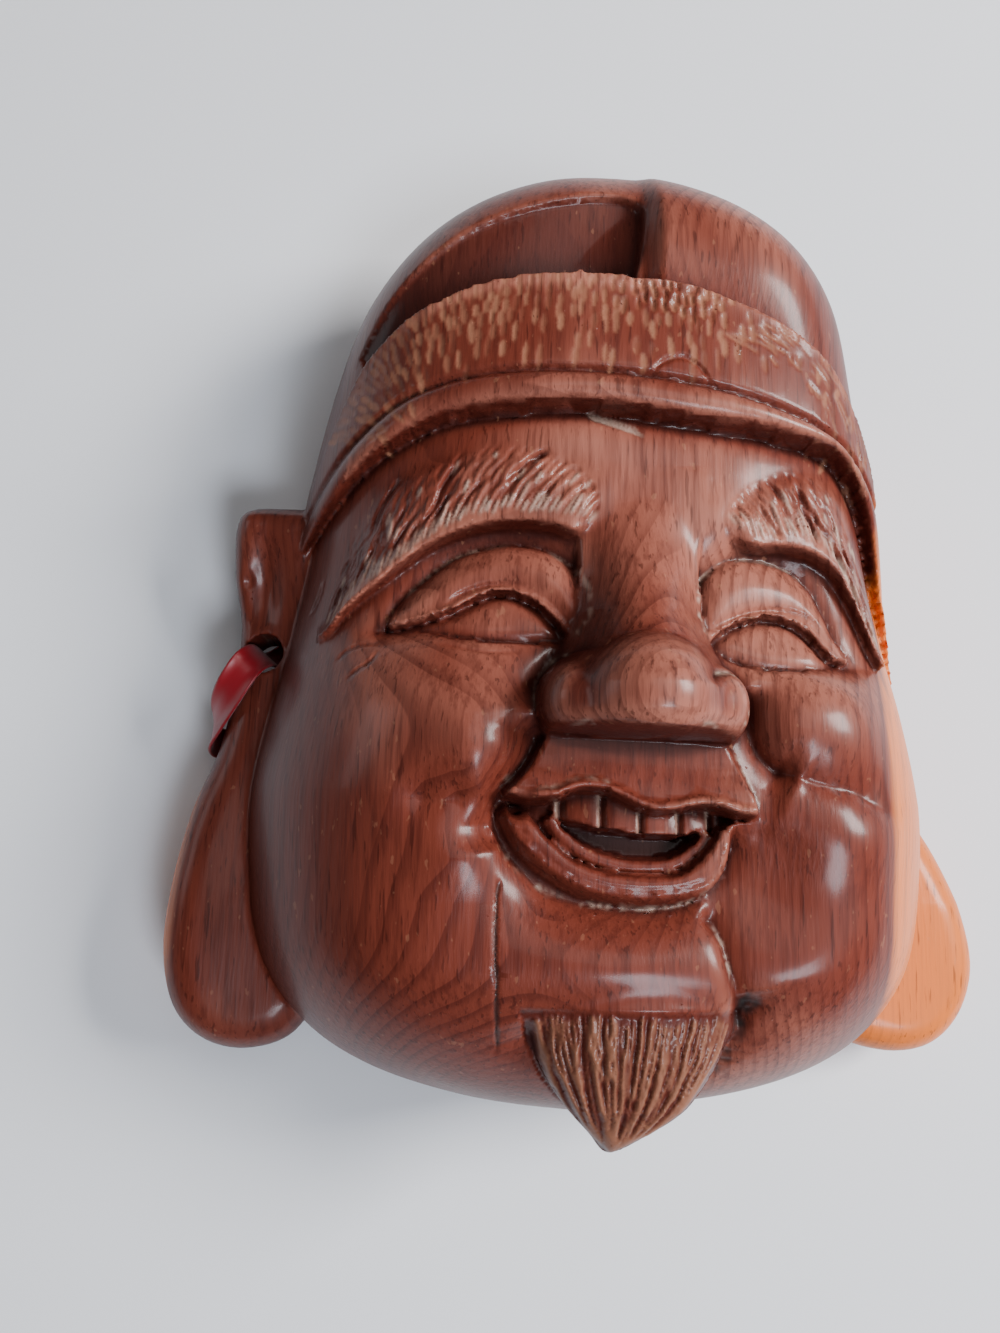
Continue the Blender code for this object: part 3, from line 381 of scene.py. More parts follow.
GUM = [
    (-13.2, -33.4), (-10.4, -36.8), (-6.8, -39.2), (-2, -40.6), (2, -41), (6.6, -40.4), (9.8, -38.4),
    (12.4, -35.2)]
TEETH_EDGE = [
    (-12.7, -32.7), (-11.2, -33.9), (-8.3, -34.6), (-5.2, -35.3), (-2.1, -35.6), (1.1, -36), (4.2, -36.1),
    (7.4, -36), (10.5, -35.4), (12.9, -34.9), (15.8, -33.6)]
TOOTH_GAPS = [-11.2, -4.8, 1.3, 7.6, 12.7]
TOOTH_CURVE = 0.5


def carve_mouth(sheet):
    """A laughing mouth: a sharp upper lip, a row of teeth, the gum's ridge, and a broad lower lip."""
    under_lip = spline(LIP_LINE) - [0, 1]
    plate = np.vstack([[(-14.2, -19.8), (-15.6, -22.6), (-17, -25.3), (-18.8, -27.6), (-20.8, -29.5)],
                       under_lip,
                       [(19.4, -30.2), (18.2, -27.7), (17.1, -25.4), (15.8, -22.7), (14.6, -20.6)]])
    rise = 55.8 + 1.2 * ramp(-sheet.Y, 24, 31) + 0.03 * np.abs(sheet.U) * ramp(-sheet.Y, 22, 30)
    sheet.level(plate, rise, 1.0)
    lower = np.vstack([spline(MOUTH_EDGE), under_lip[::-1]])
    edge = sheet.inside(lower)
    sheet.height -= 3.4 * np.exp(-np.clip(edge, 0, 99) / 3.0) * ramp(-sheet.Y, 33, 38) * (edge > 0)
    floor = 50.2 + 1.0 * ramp(-sheet.Y, 34, 46)
    sheet.height = np.where(edge < 0, floor, sheet.height)
    band = sheet.inside(np.vstack([spline(LOWER_LIP), spline(LIP_GROOVE)[::-1]]))
    ramp_down, _, _ = sheet.distance(spline(LOWER_LIP))
    lip = 54.8 - 3.6 * np.clip(ramp_down / 2.6, 0, 1) ** 1.5
    sheet.height = np.where((edge < 0) & (band >= 0), np.maximum(sheet.height, np.where(
        sheet.inside(np.vstack([spline(LOWER_LIP), spline(LIP_LINE)[::-1]])) >= 0, lip, 0)), sheet.height)
    sheet.height = np.where(band < 0, 54.0 + 0.8 * np.sqrt(np.clip(-band / 1.3, 0, 1)), sheet.height)
    gum, share, _ = sheet.distance(spline(GUM))
    ring = 52.4 * (share > 0) * (share < 1) - 1.6 * (1 - np.sqrt(np.clip(1 - (gum / 1.4) ** 2, 0, 1)))
    sheet.height = np.where(gum < 1.4, np.maximum(sheet.height, ring), sheet.height)
    cavity = sheet.inside(np.vstack([spline(TEETH_EDGE), [(12.6, -35.6)], spline(GUM)[::-1] + [0, 1.2]]))
    sheet.height = np.where(cavity < -0.1, np.minimum(sheet.height, 48.0), sheet.height)
    teeth = sheet.inside(np.vstack([[(-13, -29), (16.2, -31)], spline(TEETH_EDGE)[::-1]]))
    gaps = [-14.0] + TOOTH_GAPS + [17.0]
    middles = [(a + b) / 2 for a, b in zip(gaps, gaps[1:])]
    halves = [(b - a) / 2 for a, b in zip(gaps, gaps[1:])]
    nearest = np.abs(sheet.U[..., None] - middles).argmin(axis=2)
    off = np.clip(np.abs(sheet.U - np.take(middles, nearest)) / np.take(halves, nearest), 0, 1)
    face = 53.7 - 0.016 * (sheet.U - 1) ** 2 + 0.4 * ramp(-sheet.Y, 31, 35)
    face = face + TOOTH_CURVE * (np.sqrt(1 - off ** 2) - 1)
    sheet.height = np.where((teeth < 0) & (edge < 0), face, sheet.height)
    sheet.swell(-18.6, -32, 3.2, 1.8, -2.5)
    sheet.bead(LIP_LINE, 1.1, 1.05)


CAP_BAND = [
    (-60, 10), (-57.2, 15.3), (-51.7, 20.8), (-46.3, 25.6), (-39.4, 29.3), (-32.6, 31.9), (-26, 32.8),
    (-17.9, 33.3), (-13.4, 33.5), (-7.9, 33.4), (0.3, 32.7), (8.1, 31.8), (15.3, 31.4), (20.7, 31.1),
    (26.2, 30.5), (31.3, 30), (34.9, 29.3), (38.2, 27.2), (41.2, 24.2), (43.9, 19.9), (46.5, 14.5), (49, 8)]
BAND_GROOVE = [
    (-60, 15.5), (-57.4, 19.9), (-52.8, 25.3), (-46.5, 30.8), (-39.6, 35.2), (-32.8, 37.4), (-26.2, 38.3),
    (-18, 38.7), (-6.6, 38.5), (1.7, 38), (11.6, 36.9), (18.3, 35.8), (25.1, 34.4), (31.5, 32.6),
    (37.8, 29.9), (43.5, 25.5), (48, 20), (52, 14)]
CROWN_EDGE = [
    (-54, 32), (-50, 40), (-46, 46), (-39.4, 50.7), (-33.4, 53.3), (-27.1, 55.3), (-21.6, 56.3),
    (-15.1, 56.9), (-9.6, 57.1), (-4.1, 56.7), (-0.4, 56.1), (7, 55.5), (12.7, 54.2), (17.4, 52.7),
    (22.5, 51.1), (27.5, 49), (33, 46.1), (37, 42.8), (41, 37.5), (44.5, 31), (47, 24)]
HOLLOW_RIM = [
    (-48.5, 50.5), (-44.5, 57), (-40.8, 61.2), (-34, 66.8), (-25.4, 71.5), (-16.6, 74.4), (-7.8, 76.1),
    (-1.5, 76), (1.6, 73.8), (1.8, 69.7), (0.9, 62), (-0.4, 56.9)]


def carve_cap(sheet):
    """The soft cap: a rolled band across the brow, a full crown, and above it a peak folded to one side."""
    far, _, side = sheet.distance(spline(CAP_BAND), reach=200)
    groove, _, upper = sheet.distance(spline(BAND_GROOVE), reach=200)
    above = side > 0
    on_band = above & (upper < 0)
    half = (far + groove) / 2 + 0.01
    roll = np.sqrt(np.clip(1 - ((far - half) / half) ** 2, 0, 1))
    sheet.height += np.where(on_band, 1.8 + 2.4 * roll, 0)
    sheet.height += np.where(above & (upper >= 0), 1.8 + 1.4 * ramp(groove, 0, 1.5), 0)
    sheet.height -= np.where(above, 0, 2.2 * np.exp(-far / 3.0))
    edge, _, over = sheet.distance(spline(CROWN_EDGE), reach=200)
    peak = over > 0
    sheet.height += np.where(above & ~peak, 1.2 * np.exp(-edge / 4), 0)
    sheet.height -= np.where(peak, 4.2 * np.exp(-edge / 9) * ramp(edge, 0, 0.8) + 1.0, 0)
    hollow = sheet.inside(np.vstack([spline(CROWN_EDGE[2:11]), spline(HOLLOW_RIM)[::-1]]))
    rim, _, _ = sheet.distance(spline(HOLLOW_RIM), reach=40)
    deep = 8.0 * np.interp(sheet.U, [-50, -38, -20, -4, 2], [0.3, 0.6, 0.75, 0.95, 1.0])
    slope = np.clip(rim / (rim + edge + 0.01), 0, 1) ** 0.8
    sheet.height -= np.where(hollow < 0, (0.18 * ramp(rim, 0, 0.9) + 0.82 * slope) * deep, 0)
    sheet.height += np.where(peak, 3.4 * ramp(sheet.U, 1.0, 5) * np.exp(-((sheet.Y - 68) / 15) ** 2), 0)


def face_sheet(step):
    """The whole carved face as a top view."""
    sheet = Sheet(step)
    carve_head(sheet)
    carve_cheeks(sheet)
    carve_brows(sheet)
    carve_eyes(sheet)
    carve_chin(sheet)
    carve_nose(sheet)
    carve_mouth(sheet)
    carve_cap(sheet)
    return sheet


def ear_height(sheet):
    """The ears' front: a raised outer rim at the top, and a lobe that swells towards its foot."""
    left = 21 + 5 * np.clip((sheet.Y - 2) / 20, 0, 1)
    left -= 3.6 * np.exp(-((sheet.X + 62) / 3.2) ** 2 - ((sheet.Y - 9) / 9) ** 2)
    left += 3.2 * np.exp(-((sheet.X + 73) / 14) ** 2 - ((sheet.Y + 56) / 22) ** 2)
    right = 11.5 + 5 * np.clip((-14 - sheet.Y) / 34, 0, 1)
    return np.where(sheet.X < 0, left, right)


def sample(values, sheet, x, y):
    """Values of a map at any places, between its grid points."""
    step = sheet.x[1] - sheet.x[0]
    fx = np.clip((x - sheet.x[0]) / step, 0, len(sheet.x) - 1.001)
    fy = np.clip((y - sheet.y[0]) / step, 0, len(sheet.y) - 1.001)
    i, j = fx.astype(int), fy.astype(int)
    a, b = fx - i, fy - j
    return ((values[i, j] * (1 - b) + values[i, j + 1] * b) * (1 - a)
            + (values[i + 1, j] * (1 - b) + values[i + 1, j + 1] * b) * a)


def mask_field(step):
    """A function of places in the block, negative in the wood and positive outside it."""
    sheet = face_sheet(step)
    head = sheet.inside(spline(mirrored(HEAD_OUTLINE), 6, closed=True), -FACE_SHIFT, 99)
    ears = np.minimum(*(sheet.inside(spline(ear, 6, closed=True), -FACE_SHIFT, 99)
                        for ear in (LEFT_EAR, RIGHT_EAR)))
    beard = sheet.inside(spline(BEARD_OUTLINE, 6, closed=True), 0, 99)
    maps = {"front": sheet.height, "head": head, "ears": ears, "beard": beard,
            "ear_front": ear_height(sheet),
            "edge": np.interp(sheet.Y, [-92, -60, 0, 40, 70, 92], [24, 25, 22, 20, 14, 11])}
    wall_x, wall_z = BACK_RIM / UNIT[0], FRONT_WALL / UNIT[2]
    sheet_arch = ARCH_HEIGHT / UNIT[2] * np.clip((np.abs(sheet.X) - 36) / 6, 0, 1)
    maps["arch"] = sheet_arch * np.interp(sheet.Y, [-42, -27, 20, 34], [0, 1, 1, 0])
    dome = Sheet(step)
    carve_head(dome)
    maps["inner"] = dome.height.clip(0, 52) - wall_z

    def field(x, y, z):
        at = {name: sample(values, sheet, x, y) for name, values in maps.items()}
        tuck = 0.012 * np.clip(20 - z, 0, 20) ** 2
        face = rounded_corner(z - at["front"], at["head"] + tuck, at["edge"])
        ear = rounded_corner(z - at["ear_front"], at["ears"] + 0.4 * tuck, 7.0)
        beard_front = np.interp(y, [-92, -86, -78, -70, -62, -50], [41, 45.5, 51, 54, 55.8, 54])
        beard_front -= 0.018 * (x - FACE_SHIFT - 1) ** 2
        tuft = rounded_corner(z - beard_front, at["beard"], 3.0)
        tuft = np.maximum(tuft, (26 - 0.75 * (y + 70)) - z - 12)
        wood = smooth_max(-face, -tuft, 0.8)
        wood = -smooth_max(wood, -ear, 1.0)
        hollow = rounded_corner(z - at["inner"], at["head"] + wall_x, 20.0)
        wood = smooth_max(wood, -hollow, 1.5)
        for hole_x, hole_y, top in HOLE_AT:
            hole = HOLE_RADIUS / UNIT[0] - np.hypot(x - hole_x, y - hole_y)
            wood = np.maximum(wood, np.minimum(hole, top - z))
        return np.maximum(wood, at["arch"] - z)

    return field


def settle(values):
    """Fills the few grid places where the surface would touch itself at an edge or a corner."""
    inside = values < 0
    pairs = [((1, 0, 0), (0, 1, 0)), ((1, 0, 0), (0, 0, 1)), ((0, 1, 0), (0, 0, 1))]
    for _ in range(20):
        before = inside.copy()
        for one, two in pairs:
            size = np.array(inside.shape) - one - np.array(two)
            corners = [(0, 0, 0), one, two, tuple(np.add(one, two))]
            a, b, c, d = (tuple(slice(k, k + n) for k, n in zip(corner, size)) for corner in corners)
            crossed = (inside[a] == inside[d]) & (inside[b] == inside[c]) & (inside[a] != inside[b])
            for part in (a, b, c, d):
                inside[part] |= crossed
        cube = [tuple(slice(k, k + n - 1) for k, n in zip(corner, inside.shape))
                for corner in np.ndindex(2, 2, 2)]
        for one in range(4):
            a, b = inside[cube[one]], inside[cube[7 - one]]
            crossed = a == b
            for part in cube[:one] + cube[one + 1:7 - one] + cube[8 - one:]:
                crossed &= inside[part] != a
            for part in cube:
                inside[part] |= crossed
        if (before == inside).all():
            break
    return np.where(inside & (values >= 0), -0.05, values)


def surface_of(field, cell):
    """The carved surface as points and four-sided faces: one point in each cell that it crosses."""
    x, y, z = (np.arange(low, high + cell, cell) for low, high in ((-82, 82), (-92, 92), (-2.4, 78)))
    plane = np.meshgrid(x, y, indexing="ij")
    values = np.stack([field(*plane, np.full_like(plane[0], level)) for level in z], axis=2)
    values = settle(values)
    inside = values < 0
    corner = np.array([[i, j, k] for i in (0, 1) for j in (0, 1) for k in (0, 1)])
    shape = np.array(values.shape) - 1
    cut = [tuple(slice(c, c + n) for c, n in zip(corner[a], shape)) for a in range(8)]
    count_in = sum(inside[c].astype(np.int8) for c in cut)
    base = np.argwhere((count_in > 0) & (count_in < 8))
    number = np.full(shape, -1)
    number[tuple(base.T)] = np.arange(len(base))
    at_corner = np.stack([values[tuple((base + corner[a]).T)] for a in range(8)], axis=1)
    total, count = np.zeros((len(base), 3)), np.zeros(len(base))
    for a in range(8):
        for b in range(a + 1, 8):
            if abs(corner[a] - corner[b]).sum() != 1:
                continue
            va, vb = at_corner[:, a], at_corner[:, b]
            crosses = (va < 0) != (vb < 0)
            t = np.where(crosses, va / np.where(crosses, va - vb, 1), 0)
            total += np.where(crosses[:, None], corner[a] + t[:, None] * (corner[b] - corner[a]), 0)
            count += crosses
    points = (base + total / count[:, None]) * cell + [x[0], y[0], z[0]]
    quads = []
    for axis in range(3):
        one, two = np.eye(3, dtype=int)[(axis + 1) % 3], np.eye(3, dtype=int)[(axis + 2) % 3]
        step = np.eye(3, dtype=int)[axis]
        low = tuple(slice(0 if a == axis else 1, n - (a != axis)) for a, n in enumerate(shape))
        high = tuple(slice(s.start + step[a], s.stop + step[a]) for a, s in enumerate(low))
        at = np.argwhere(inside[low] != inside[high]) + [s.start for s in low]
        leaves = inside[tuple(at.T)]
        ring = np.stack([number[tuple((at - shift).T)] for shift in (0 * one, one, one + two, two)], axis=1)
        quads.append(np.where(leaves[:, None], ring, ring[:, ::-1]))
    return points, np.vstack(quads)


def ripple(x, y, scale, seed):
    """A smooth random wave between -1 and 1, of the scale in millimetres."""
    rng = np.random.default_rng(seed)
    grid = rng.uniform(-1, 1, (64, 64))
    fx, fy = x / scale + 31.7, y / scale + 29.3
    i, j = np.floor(fx).astype(int), np.floor(fy).astype(int)
    a, b = fx - i, fy - j
    a, b = a * a * (3 - 2 * a), b * b * (3 - 2 * b)
    i, j = i % 64, j % 64
    k, m = (i + 1) % 64, (j + 1) % 64
    return ((grid[i, j] * (1 - a) + grid[k, j] * a) * (1 - b)
            + (grid[i, m] * (1 - a) + grid[k, m] * a) * b)


def cut(sheet, relief, line, depth, width, taper=0.25):
    """A knife cut along a line, into the relief map."""
    part = sheet.window(line, 2 * width + 1)
    far, share, _ = sheet.distance(spline(line, 4), reach=2 * width + 1)
    ends = np.clip(np.minimum(share, 1 - share) / taper, 0, 1)
    relief[part] -= (depth * ends * np.clip(1 - (far / width) ** 2, 0, 1))[part]


def walk(line, place):
    """The point at a distance along a line, and the line's direction there."""
    along = np.concatenate([[0], np.cumsum(np.linalg.norm(np.diff(line, axis=0), axis=1))])
    here, ahead = (np.array([np.interp(at, along, line[:, k]) for k in (0, 1)])
                   for at in (place, place + 0.5))
    return here, (ahead - here) / max(np.linalg.norm(ahead - here), 1e-6), along[-1]


def brow_hairs(sheet, relief, pale, low, high, lean, seed):
    """Separate hair cuts that rise from a brow's lower edge, with bright splinters at their roots."""
    rng = np.random.default_rng(seed)
    line = spline(low, 8)
    inside = sheet.inside(np.vstack([spline(low), spline(high)[::-1]]), reach=3)
    hairs, roots = np.zeros_like(relief), np.zeros_like(relief)
    long = walk(line, 0)[2]
    for start, size, depth, gap in ((2.1, 9.0, 0.6, 1.15), (7.0, 6.5, 0.42, 1.5), (11, 4.5, 0.3, 2.2)):
        place = 1.0
        while place < long - 0.6:
            root = walk(line, place)[0] + [0, start + rng.uniform(-0.5, 0.8)]
            tilt = math.radians(np.interp(-lean * root[0], [5, 20, 35, 50], [40, 25, 16, 11]))
            tilt += rng.normal(0, 0.045)
            length = size * rng.uniform(0.75, 1.2)
            first = root + 0.5 * length * np.array([lean * math.sin(tilt), math.cos(tilt)])
            tip = first + 0.5 * length * np.array([lean * math.sin(tilt + 0.3), math.cos(tilt + 0.3)])
            cut(sheet, hairs, [root, first, tip], depth * rng.uniform(0.6, 1.2), 0.46, 0.3)
            if start < 4 or rng.uniform() < 0.3:
                beside = np.array([0.58, 0])
                reach = rng.uniform(0.6, 1.3)
                splinter = [root + beside, root + beside + reach * (first - root)]
                cut(sheet, roots, splinter, -rng.uniform(0.4, 1), 0.34)
            place += gap * rng.uniform(0.85, 1.15)
    on = ramp(-inside, 0.5, 1.7) * (inside < 0)
    relief += on * hairs
    relief += 0.2 * on * np.clip(roots, 0, 1)
    np.maximum(pale, on * np.clip(roots, 0, 1), out=pale)


def beard_hairs(sheet, relief, ridges):
    """Thin ridges between wide furrows, which start under the chin and run together at the beard's tip."""
    rng = np.random.default_rng(31)
    edge = sheet.inside(spline(BEARD_OUTLINE, 6, closed=True))
    strands = np.zeros_like(relief)
    heights = [-87, -85, -82, -77, -70, -63, -56]
    halves = [0.3, 2.0, 5.6, 10.4, 14.2, 16.0, 16.6]
    for i in range(38):
        share = -0.97 + 1.94 * (i + rng.uniform(-0.3, 0.3)) / 37
        top = -62.6 + rng.uniform(-1.0, 0.5)
        foot = np.interp(abs(share), [0, 0.5, 1], [-86.5, -85, -83]) if i % 2 else rng.uniform(-80, -73)
        y = np.linspace(top, foot, 8)
        bend = share * (1 - 0.12 * ramp(-y, 66, 80) * rng.uniform(-1, 1))
        u = np.interp(y, [-86, -78, -63], [-1.3, 0.0, 0.6]) + bend * np.interp(y, heights, halves)
        u[1:-1] += rng.normal(0, 0.12, 6)
        cut(sheet, strands, np.stack([u, y], axis=1), -rng.uniform(0.55, 1.0), rng.uniform(0.36, 0.5), 0.08)
    strands = np.clip(strands, 0, 1)
    # The beard is painted darker as shade in its furrows, and its ridges paler as painted highlights on their
    # tops.
    on = ramp(-sheet.Y, 61.9, 63.4) * (edge < 0.8)
    relief += on * (0.75 * strands - 0.55)
    np.maximum(ridges, on * ramp(strands, 0.35, 0.9), out=ridges)
    return on


def cap_chips(sheet, relief):
    """Rows of small flakes cut under the crown's edge: deep in the middle, shallow on the left, and only
    scratches on the right."""
    rng = np.random.default_rng(21)
    line = spline(CROWN_EDGE, 10)
    chips = np.zeros_like(relief)
    long = walk(line, 0)[2]
    for down, gap, chance in ((1.0, 1.55, 1.0), (3.0, 1.7, 1.0), (5.2, 1.8, 1.0), (7.6, 1.9, 0.95),
                              (10.2, 2.1, 0.8), (13.0, 2.3, 0.6), (15.8, 2.6, 0.35)):
        for place in np.arange(1.0 + 0.4 * down, long - 1, gap):
            here, way, _ = walk(line, place + rng.uniform(-0.4, 0.4))
            if rng.uniform() > chance or (here[0] > 15 and rng.uniform() < 0.8):
                continue
            lean = 0.45 * np.clip((here[0] + 8) / 30, -0.6, 1)
            n = np.array([way[1] * math.cos(lean) + way[0] * math.sin(lean),
                          way[1] * math.sin(lean) - way[0] * math.cos(lean)])
            u, y = here + n * (down + rng.uniform(-0.7, 0.7))
            deep = 0.14 + 0.45 * math.exp(-((here[0] - 5) / 9) ** 2) * (down < 6.5)
            wide, tall = rng.uniform(0.45, 0.7), rng.uniform(1.0, 1.7) + 0.05 * down
            part = sheet.window([(u, y)], tall + 0.5)
            du, dy = sheet.U[part] - u, sheet.Y[part] - y
            r = ((du * n[1] - dy * n[0]) / wide) ** 2 + ((du * n[0] + dy * n[1]) / tall) ** 2
            bowl = np.clip(1 - r, 0, 1)
            relief[part] = np.minimum(relief[part], -deep * bowl)
            chips[part] = np.maximum(chips[part], np.clip(bowl * 2.2, 0, 1) * rng.uniform(0.1, 1.0))
    for _ in range(70):
        here, way, _ = walk(line, rng.uniform(0.62, 0.97) * long)
        n = np.array([way[1], -way[0]])
        start = here + n * rng.uniform(0.3, 7)
        end = start + way * rng.uniform(2, 6) + n * rng.uniform(0.2, 1.6)
        mark = np.zeros_like(relief)
        cut(sheet, mark, [start, end], rng.uniform(0.3, 0.9), 0.32)
        relief += 0.2 * mark
        np.maximum(chips, -mark, out=chips)
    return chips


RIGHT_CURL = [
    (9.4, -14.6), (9.3, -13.1), (10.2, -11.9), (11.8, -11.2), (14, -11.4), (15.6, -13.4), (16.2, -15.7),
    (15.7, -18), (14.6, -20)]
SMALL_CUTS = [
    (1.0, 0.8, [(-27.8, 25.3), (-30.3, 22.4), (-32.1, 18.9), (-33.6, 14.3)]),
    (1.0, 0.8, [(-14.1, 26.3), (-16.2, 25.2), (-18.5, 23.2), (-21.6, 20)]),
    (0.9, 0.7, [(-39, 23), (-40.9, 20.2), (-42.8, 16.6), (-43.7, 13.5)]),
    (1.1, 0.8, [(27.6, 24.1), (28.8, 20), (30.6, 16), (31.5, 12.2)]),
    (0.8, 0.6, [(19.5, 20.8), (21.4, 17.6), (23.4, 14.4), (24.6, 13)]),
    (0.8, 0.6, [(23.6, 22.4), (25.4, 18.4), (27.6, 14.6)]),
    (0.5, 0.45, [(-48.8, -9.1), (-46.7, -7), (-43.9, -6.1), (-40.9, -5.9)]),
    (0.5, 0.45, [(-46.5, -12.4), (-44.7, -10.7), (-42.6, -9.4), (-41.1, -7.4)]),
    (0.6, 0.5, [(-55.4, 1.2), (-54.1, 3.1), (-53.2, 5.3), (-52.7, 7.7)]),
    (0.45, 0.45, [(-30.5, 0.6), (-27.4, 2.5), (-23.4, 3.7), (-17.7, 3.9)]),
    (0.45, 0.45, [(13.7, -2.8), (16.7, -0.5), (21.1, 1), (26.4, 1.2), (30.3, -0.2), (32.8, -3.2)]),
    (0.35, 0.4, [(-33, -6.2), (-28.5, -7.2), (-23.5, -8), (-18, -7.6)]),
    (0.6, 0.45, [(1.3, 37.6), (2.5, 39.7), (4.7, 41.3), (7.3, 41.7), (9.6, 40.4), (11, 38.5), (11.4, 37.1)]),
    (0.7, 0.5, RIGHT_CURL)]
CRACK = [(-20.7, -43.3), (-21, -46.3), (-21.1, -53.3), (-20.7, -58.2), (-20.5, -63.1), (-19.8, -70.4)]
WAX_LINES = [
    (0.55, 1.0, RIGHT_CURL[2:]), (0.5, 0.8, RIGHT_LID[:5]), (0.45, 0.5, RIGHT_LID[4:9]),
    (0.5, 0.6, LEFT_LID[6:]), (0.4, 0.45, LEFT_LID[1:6]),
    (0.5, 0.7, [(-11.3, -20.4), (-9.3, -19.6), (-7.1, -20.4)]),
    (0.5, 0.6, [(6.4, -20.4), (8.2, -19.6), (10.2, -20.4)]), (0.55, 0.6, MOUTH_EDGE[2:10]),
    (0.45, 0.6, [(-15.9, -17), (-15.5, -12.5), (-13.2, -9), (-9.5, -7.7)]),
    (0.5, 0.7, [(12.9, -49.6), (14.3, -52), (15.2, -55.4), (16.2, -58.6)]),
    (0.5, 0.5, [(15.9, -22.7), (17.4, -25.6), (18.6, -28), (20.2, -31.6)]),
    (0.5, 0.6, [(-20.9, -29.2), (-19, -27.2)]),
    (0.35, 0.5, [(-16, -29.4), (-13, -29), (-10.6, -28), (-8.2, -27.4), (-5.4, -27.6), (-2.8, -28.8)])]


def fine_relief(sheet):
    """The knife work too fine for the solids, and where wax and bright new wood lie in it; also maps of
    painted shade in the mouth, the cap's hollow and the beard's furrows, of painted light and shade over the
    face, and of painted highlights on the beard's ridges and the teeth's edges.
    """
    relief, pale, ridges, dark = (np.zeros_like(sheet.height) for _ in range(4))
    brow_hairs(sheet, relief, pale, LEFT_BROW_EDGE, LEFT_BROW_TOP, 1, 5)
    brow_hairs(sheet, relief, pale, RIGHT_BROW_EDGE, RIGHT_BROW_TOP, -1, 6)
    beard = beard_hairs(sheet, relief, ridges)
    chips = cap_chips(sheet, relief)
    for depth, width, line in SMALL_CUTS:
        cut(sheet, relief, line, depth, width)
    for i in range(11):
        u, y = -8.5 + 0.75 * i, 33.8 - 0.25 * i
        cut(sheet, relief, [(u, y), (u + 0.7, y - 1.3), (u + 1.9, y - 2.3)], 0.35, 0.36)
        cut(sheet, pale, [(u + 0.35, y), (u + 1.05, y - 1.3), (u + 2.2, y - 2.3)], -0.6, 0.3)
    for u in TOOTH_GAPS:
        top = np.interp(u, [p[0] for p in LIP_LINE], [p[1] for p in LIP_LINE]) - 1
        foot = np.interp(u, [p[0] for p in TEETH_EDGE], [p[1] for p in TEETH_EDGE])
        cut(sheet, relief, [(u, top + 1), (u, foot - 0.3)], 1.1, 0.5, 0.02)
        # A pale line beside each gap is a painted highlight on the tooth's edge.
        cut(sheet, pale, [(u - 0.55, top), (u - 0.5, foot + 0.2)], -0.7, 0.32, 0.05)
    wax = np.zeros_like(relief)
    for width, strength, line in WAX_LINES:
        cut(sheet, wax, line, -strength, width, 0.12)
    patchy = ripple(sheet.U, sheet.Y, 0.6, 14) + 0.5 * ripple(sheet.U, sheet.Y, 2.5, 15)
    pale += np.clip(wax, 0, 1) * ramp(patchy, -0.35, 0.5)
    cut(sheet, dark, CRACK, -1.0, 0.32, 0.06)
    relief -= 0.5 * dark
    bark = np.zeros_like(relief)
    for u, y, wide, tall in ((19.4, -61.4, 1.8, 2.2), (18.3, -66.2, 1.4, 3.0), (16.9, -71.4, 1.3, 3.0)):
        bark = np.maximum(bark, np.exp(-((sheet.U - u) / wide) ** 2 - ((sheet.Y - y) / tall) ** 2))
    rough = 0.6 * ripple(sheet.U, sheet.Y, 0.8, 12) + 0.4 * ripple(sheet.U, sheet.Y, 1.7, 13)
    relief -= 0.7 * bark * np.clip(0.4 + rough, 0, 1)
    dark += ramp(bark, 0.25, 0.7) * np.clip(0.55 + 0.6 * rough, 0, 1)
    relief -= 0.9 * np.exp(-((sheet.X + 65.2) / 1.0) ** 2 - ((sheet.Y - 9.8) / 1.4) ** 2)
    # Painted shade: the mouth's cavity and the cap's hollow are painted dark, more so just under the crown's
    # edge.
    mouth = sheet.inside(np.vstack([spline(TEETH_EDGE), [(12.6, -35.6)], spline(GUM)[::-1] + [0, 1.2]]))
    hollow = sheet.inside(np.vstack([spline(CROWN_EDGE[2:11]), spline(HOLLOW_RIM)[::-1]]))
    far, _, _ = sheet.distance(spline(CROWN_EDGE, 6), reach=24)
    painted_shade = np.maximum(ramp(-mouth, -0.4, 0.6), ramp(-hollow, -0.5, 1.2) * (0.55 + 0.4 * ramp(-far, -14, -2)))
    # Lighter over the forehead and nose as painted light and wear, darker over the lower left jaw as painted
    # shade and dirt.
    painted_light_and_wear = np.exp(-((sheet.U + 1) / 30) ** 2 - ((sheet.Y - 19) / 33) ** 2)
    painted_light_and_wear -= 0.9 * np.exp(-((sheet.U + 40) / 26) ** 2 - ((sheet.Y + 42) / 34) ** 2)
    return relief, {"pale": np.clip(pale, 0, 1), "ridge": ridges, "chip": chips, "dark": np.clip(dark, 0, 1),
                    "beard": beard, "painted_shade": blurred(painted_shade, 0.5, CARVING_STEP), "painted_light_and_wear": painted_light_and_wear}


def blurred(values, radius, step):
    """The map, smoothed over a radius."""
    fx = np.fft.fftfreq(values.shape[0], step)[:, None]
    fy = np.fft.rfftfreq(values.shape[1], step)[None, :]
    soft = np.exp(-2 * (math.pi * radius) ** 2 * (fx ** 2 + fy ** 2))
    return np.fft.irfft2(np.fft.rfft2(values) * soft, s=values.shape)


def onto(field, points, rounds=2):
    """Moves points the last fraction of a millimetre onto the carved surface."""
    for _ in range(rounds):
        value = field(*points.T)
        slope = np.stack([field(*(points + shift).T) - field(*(points - shift).T)
                          for shift in 0.05 * np.eye(3)], axis=1) / 0.1
        size = np.maximum((slope ** 2).sum(axis=1), 0.3)
        move = -(value / size)[:, None] * slope
        far = np.linalg.norm(move, axis=1)
        points = points + move * np.where(far < 0.4, 1, 0)[:, None]
    return points


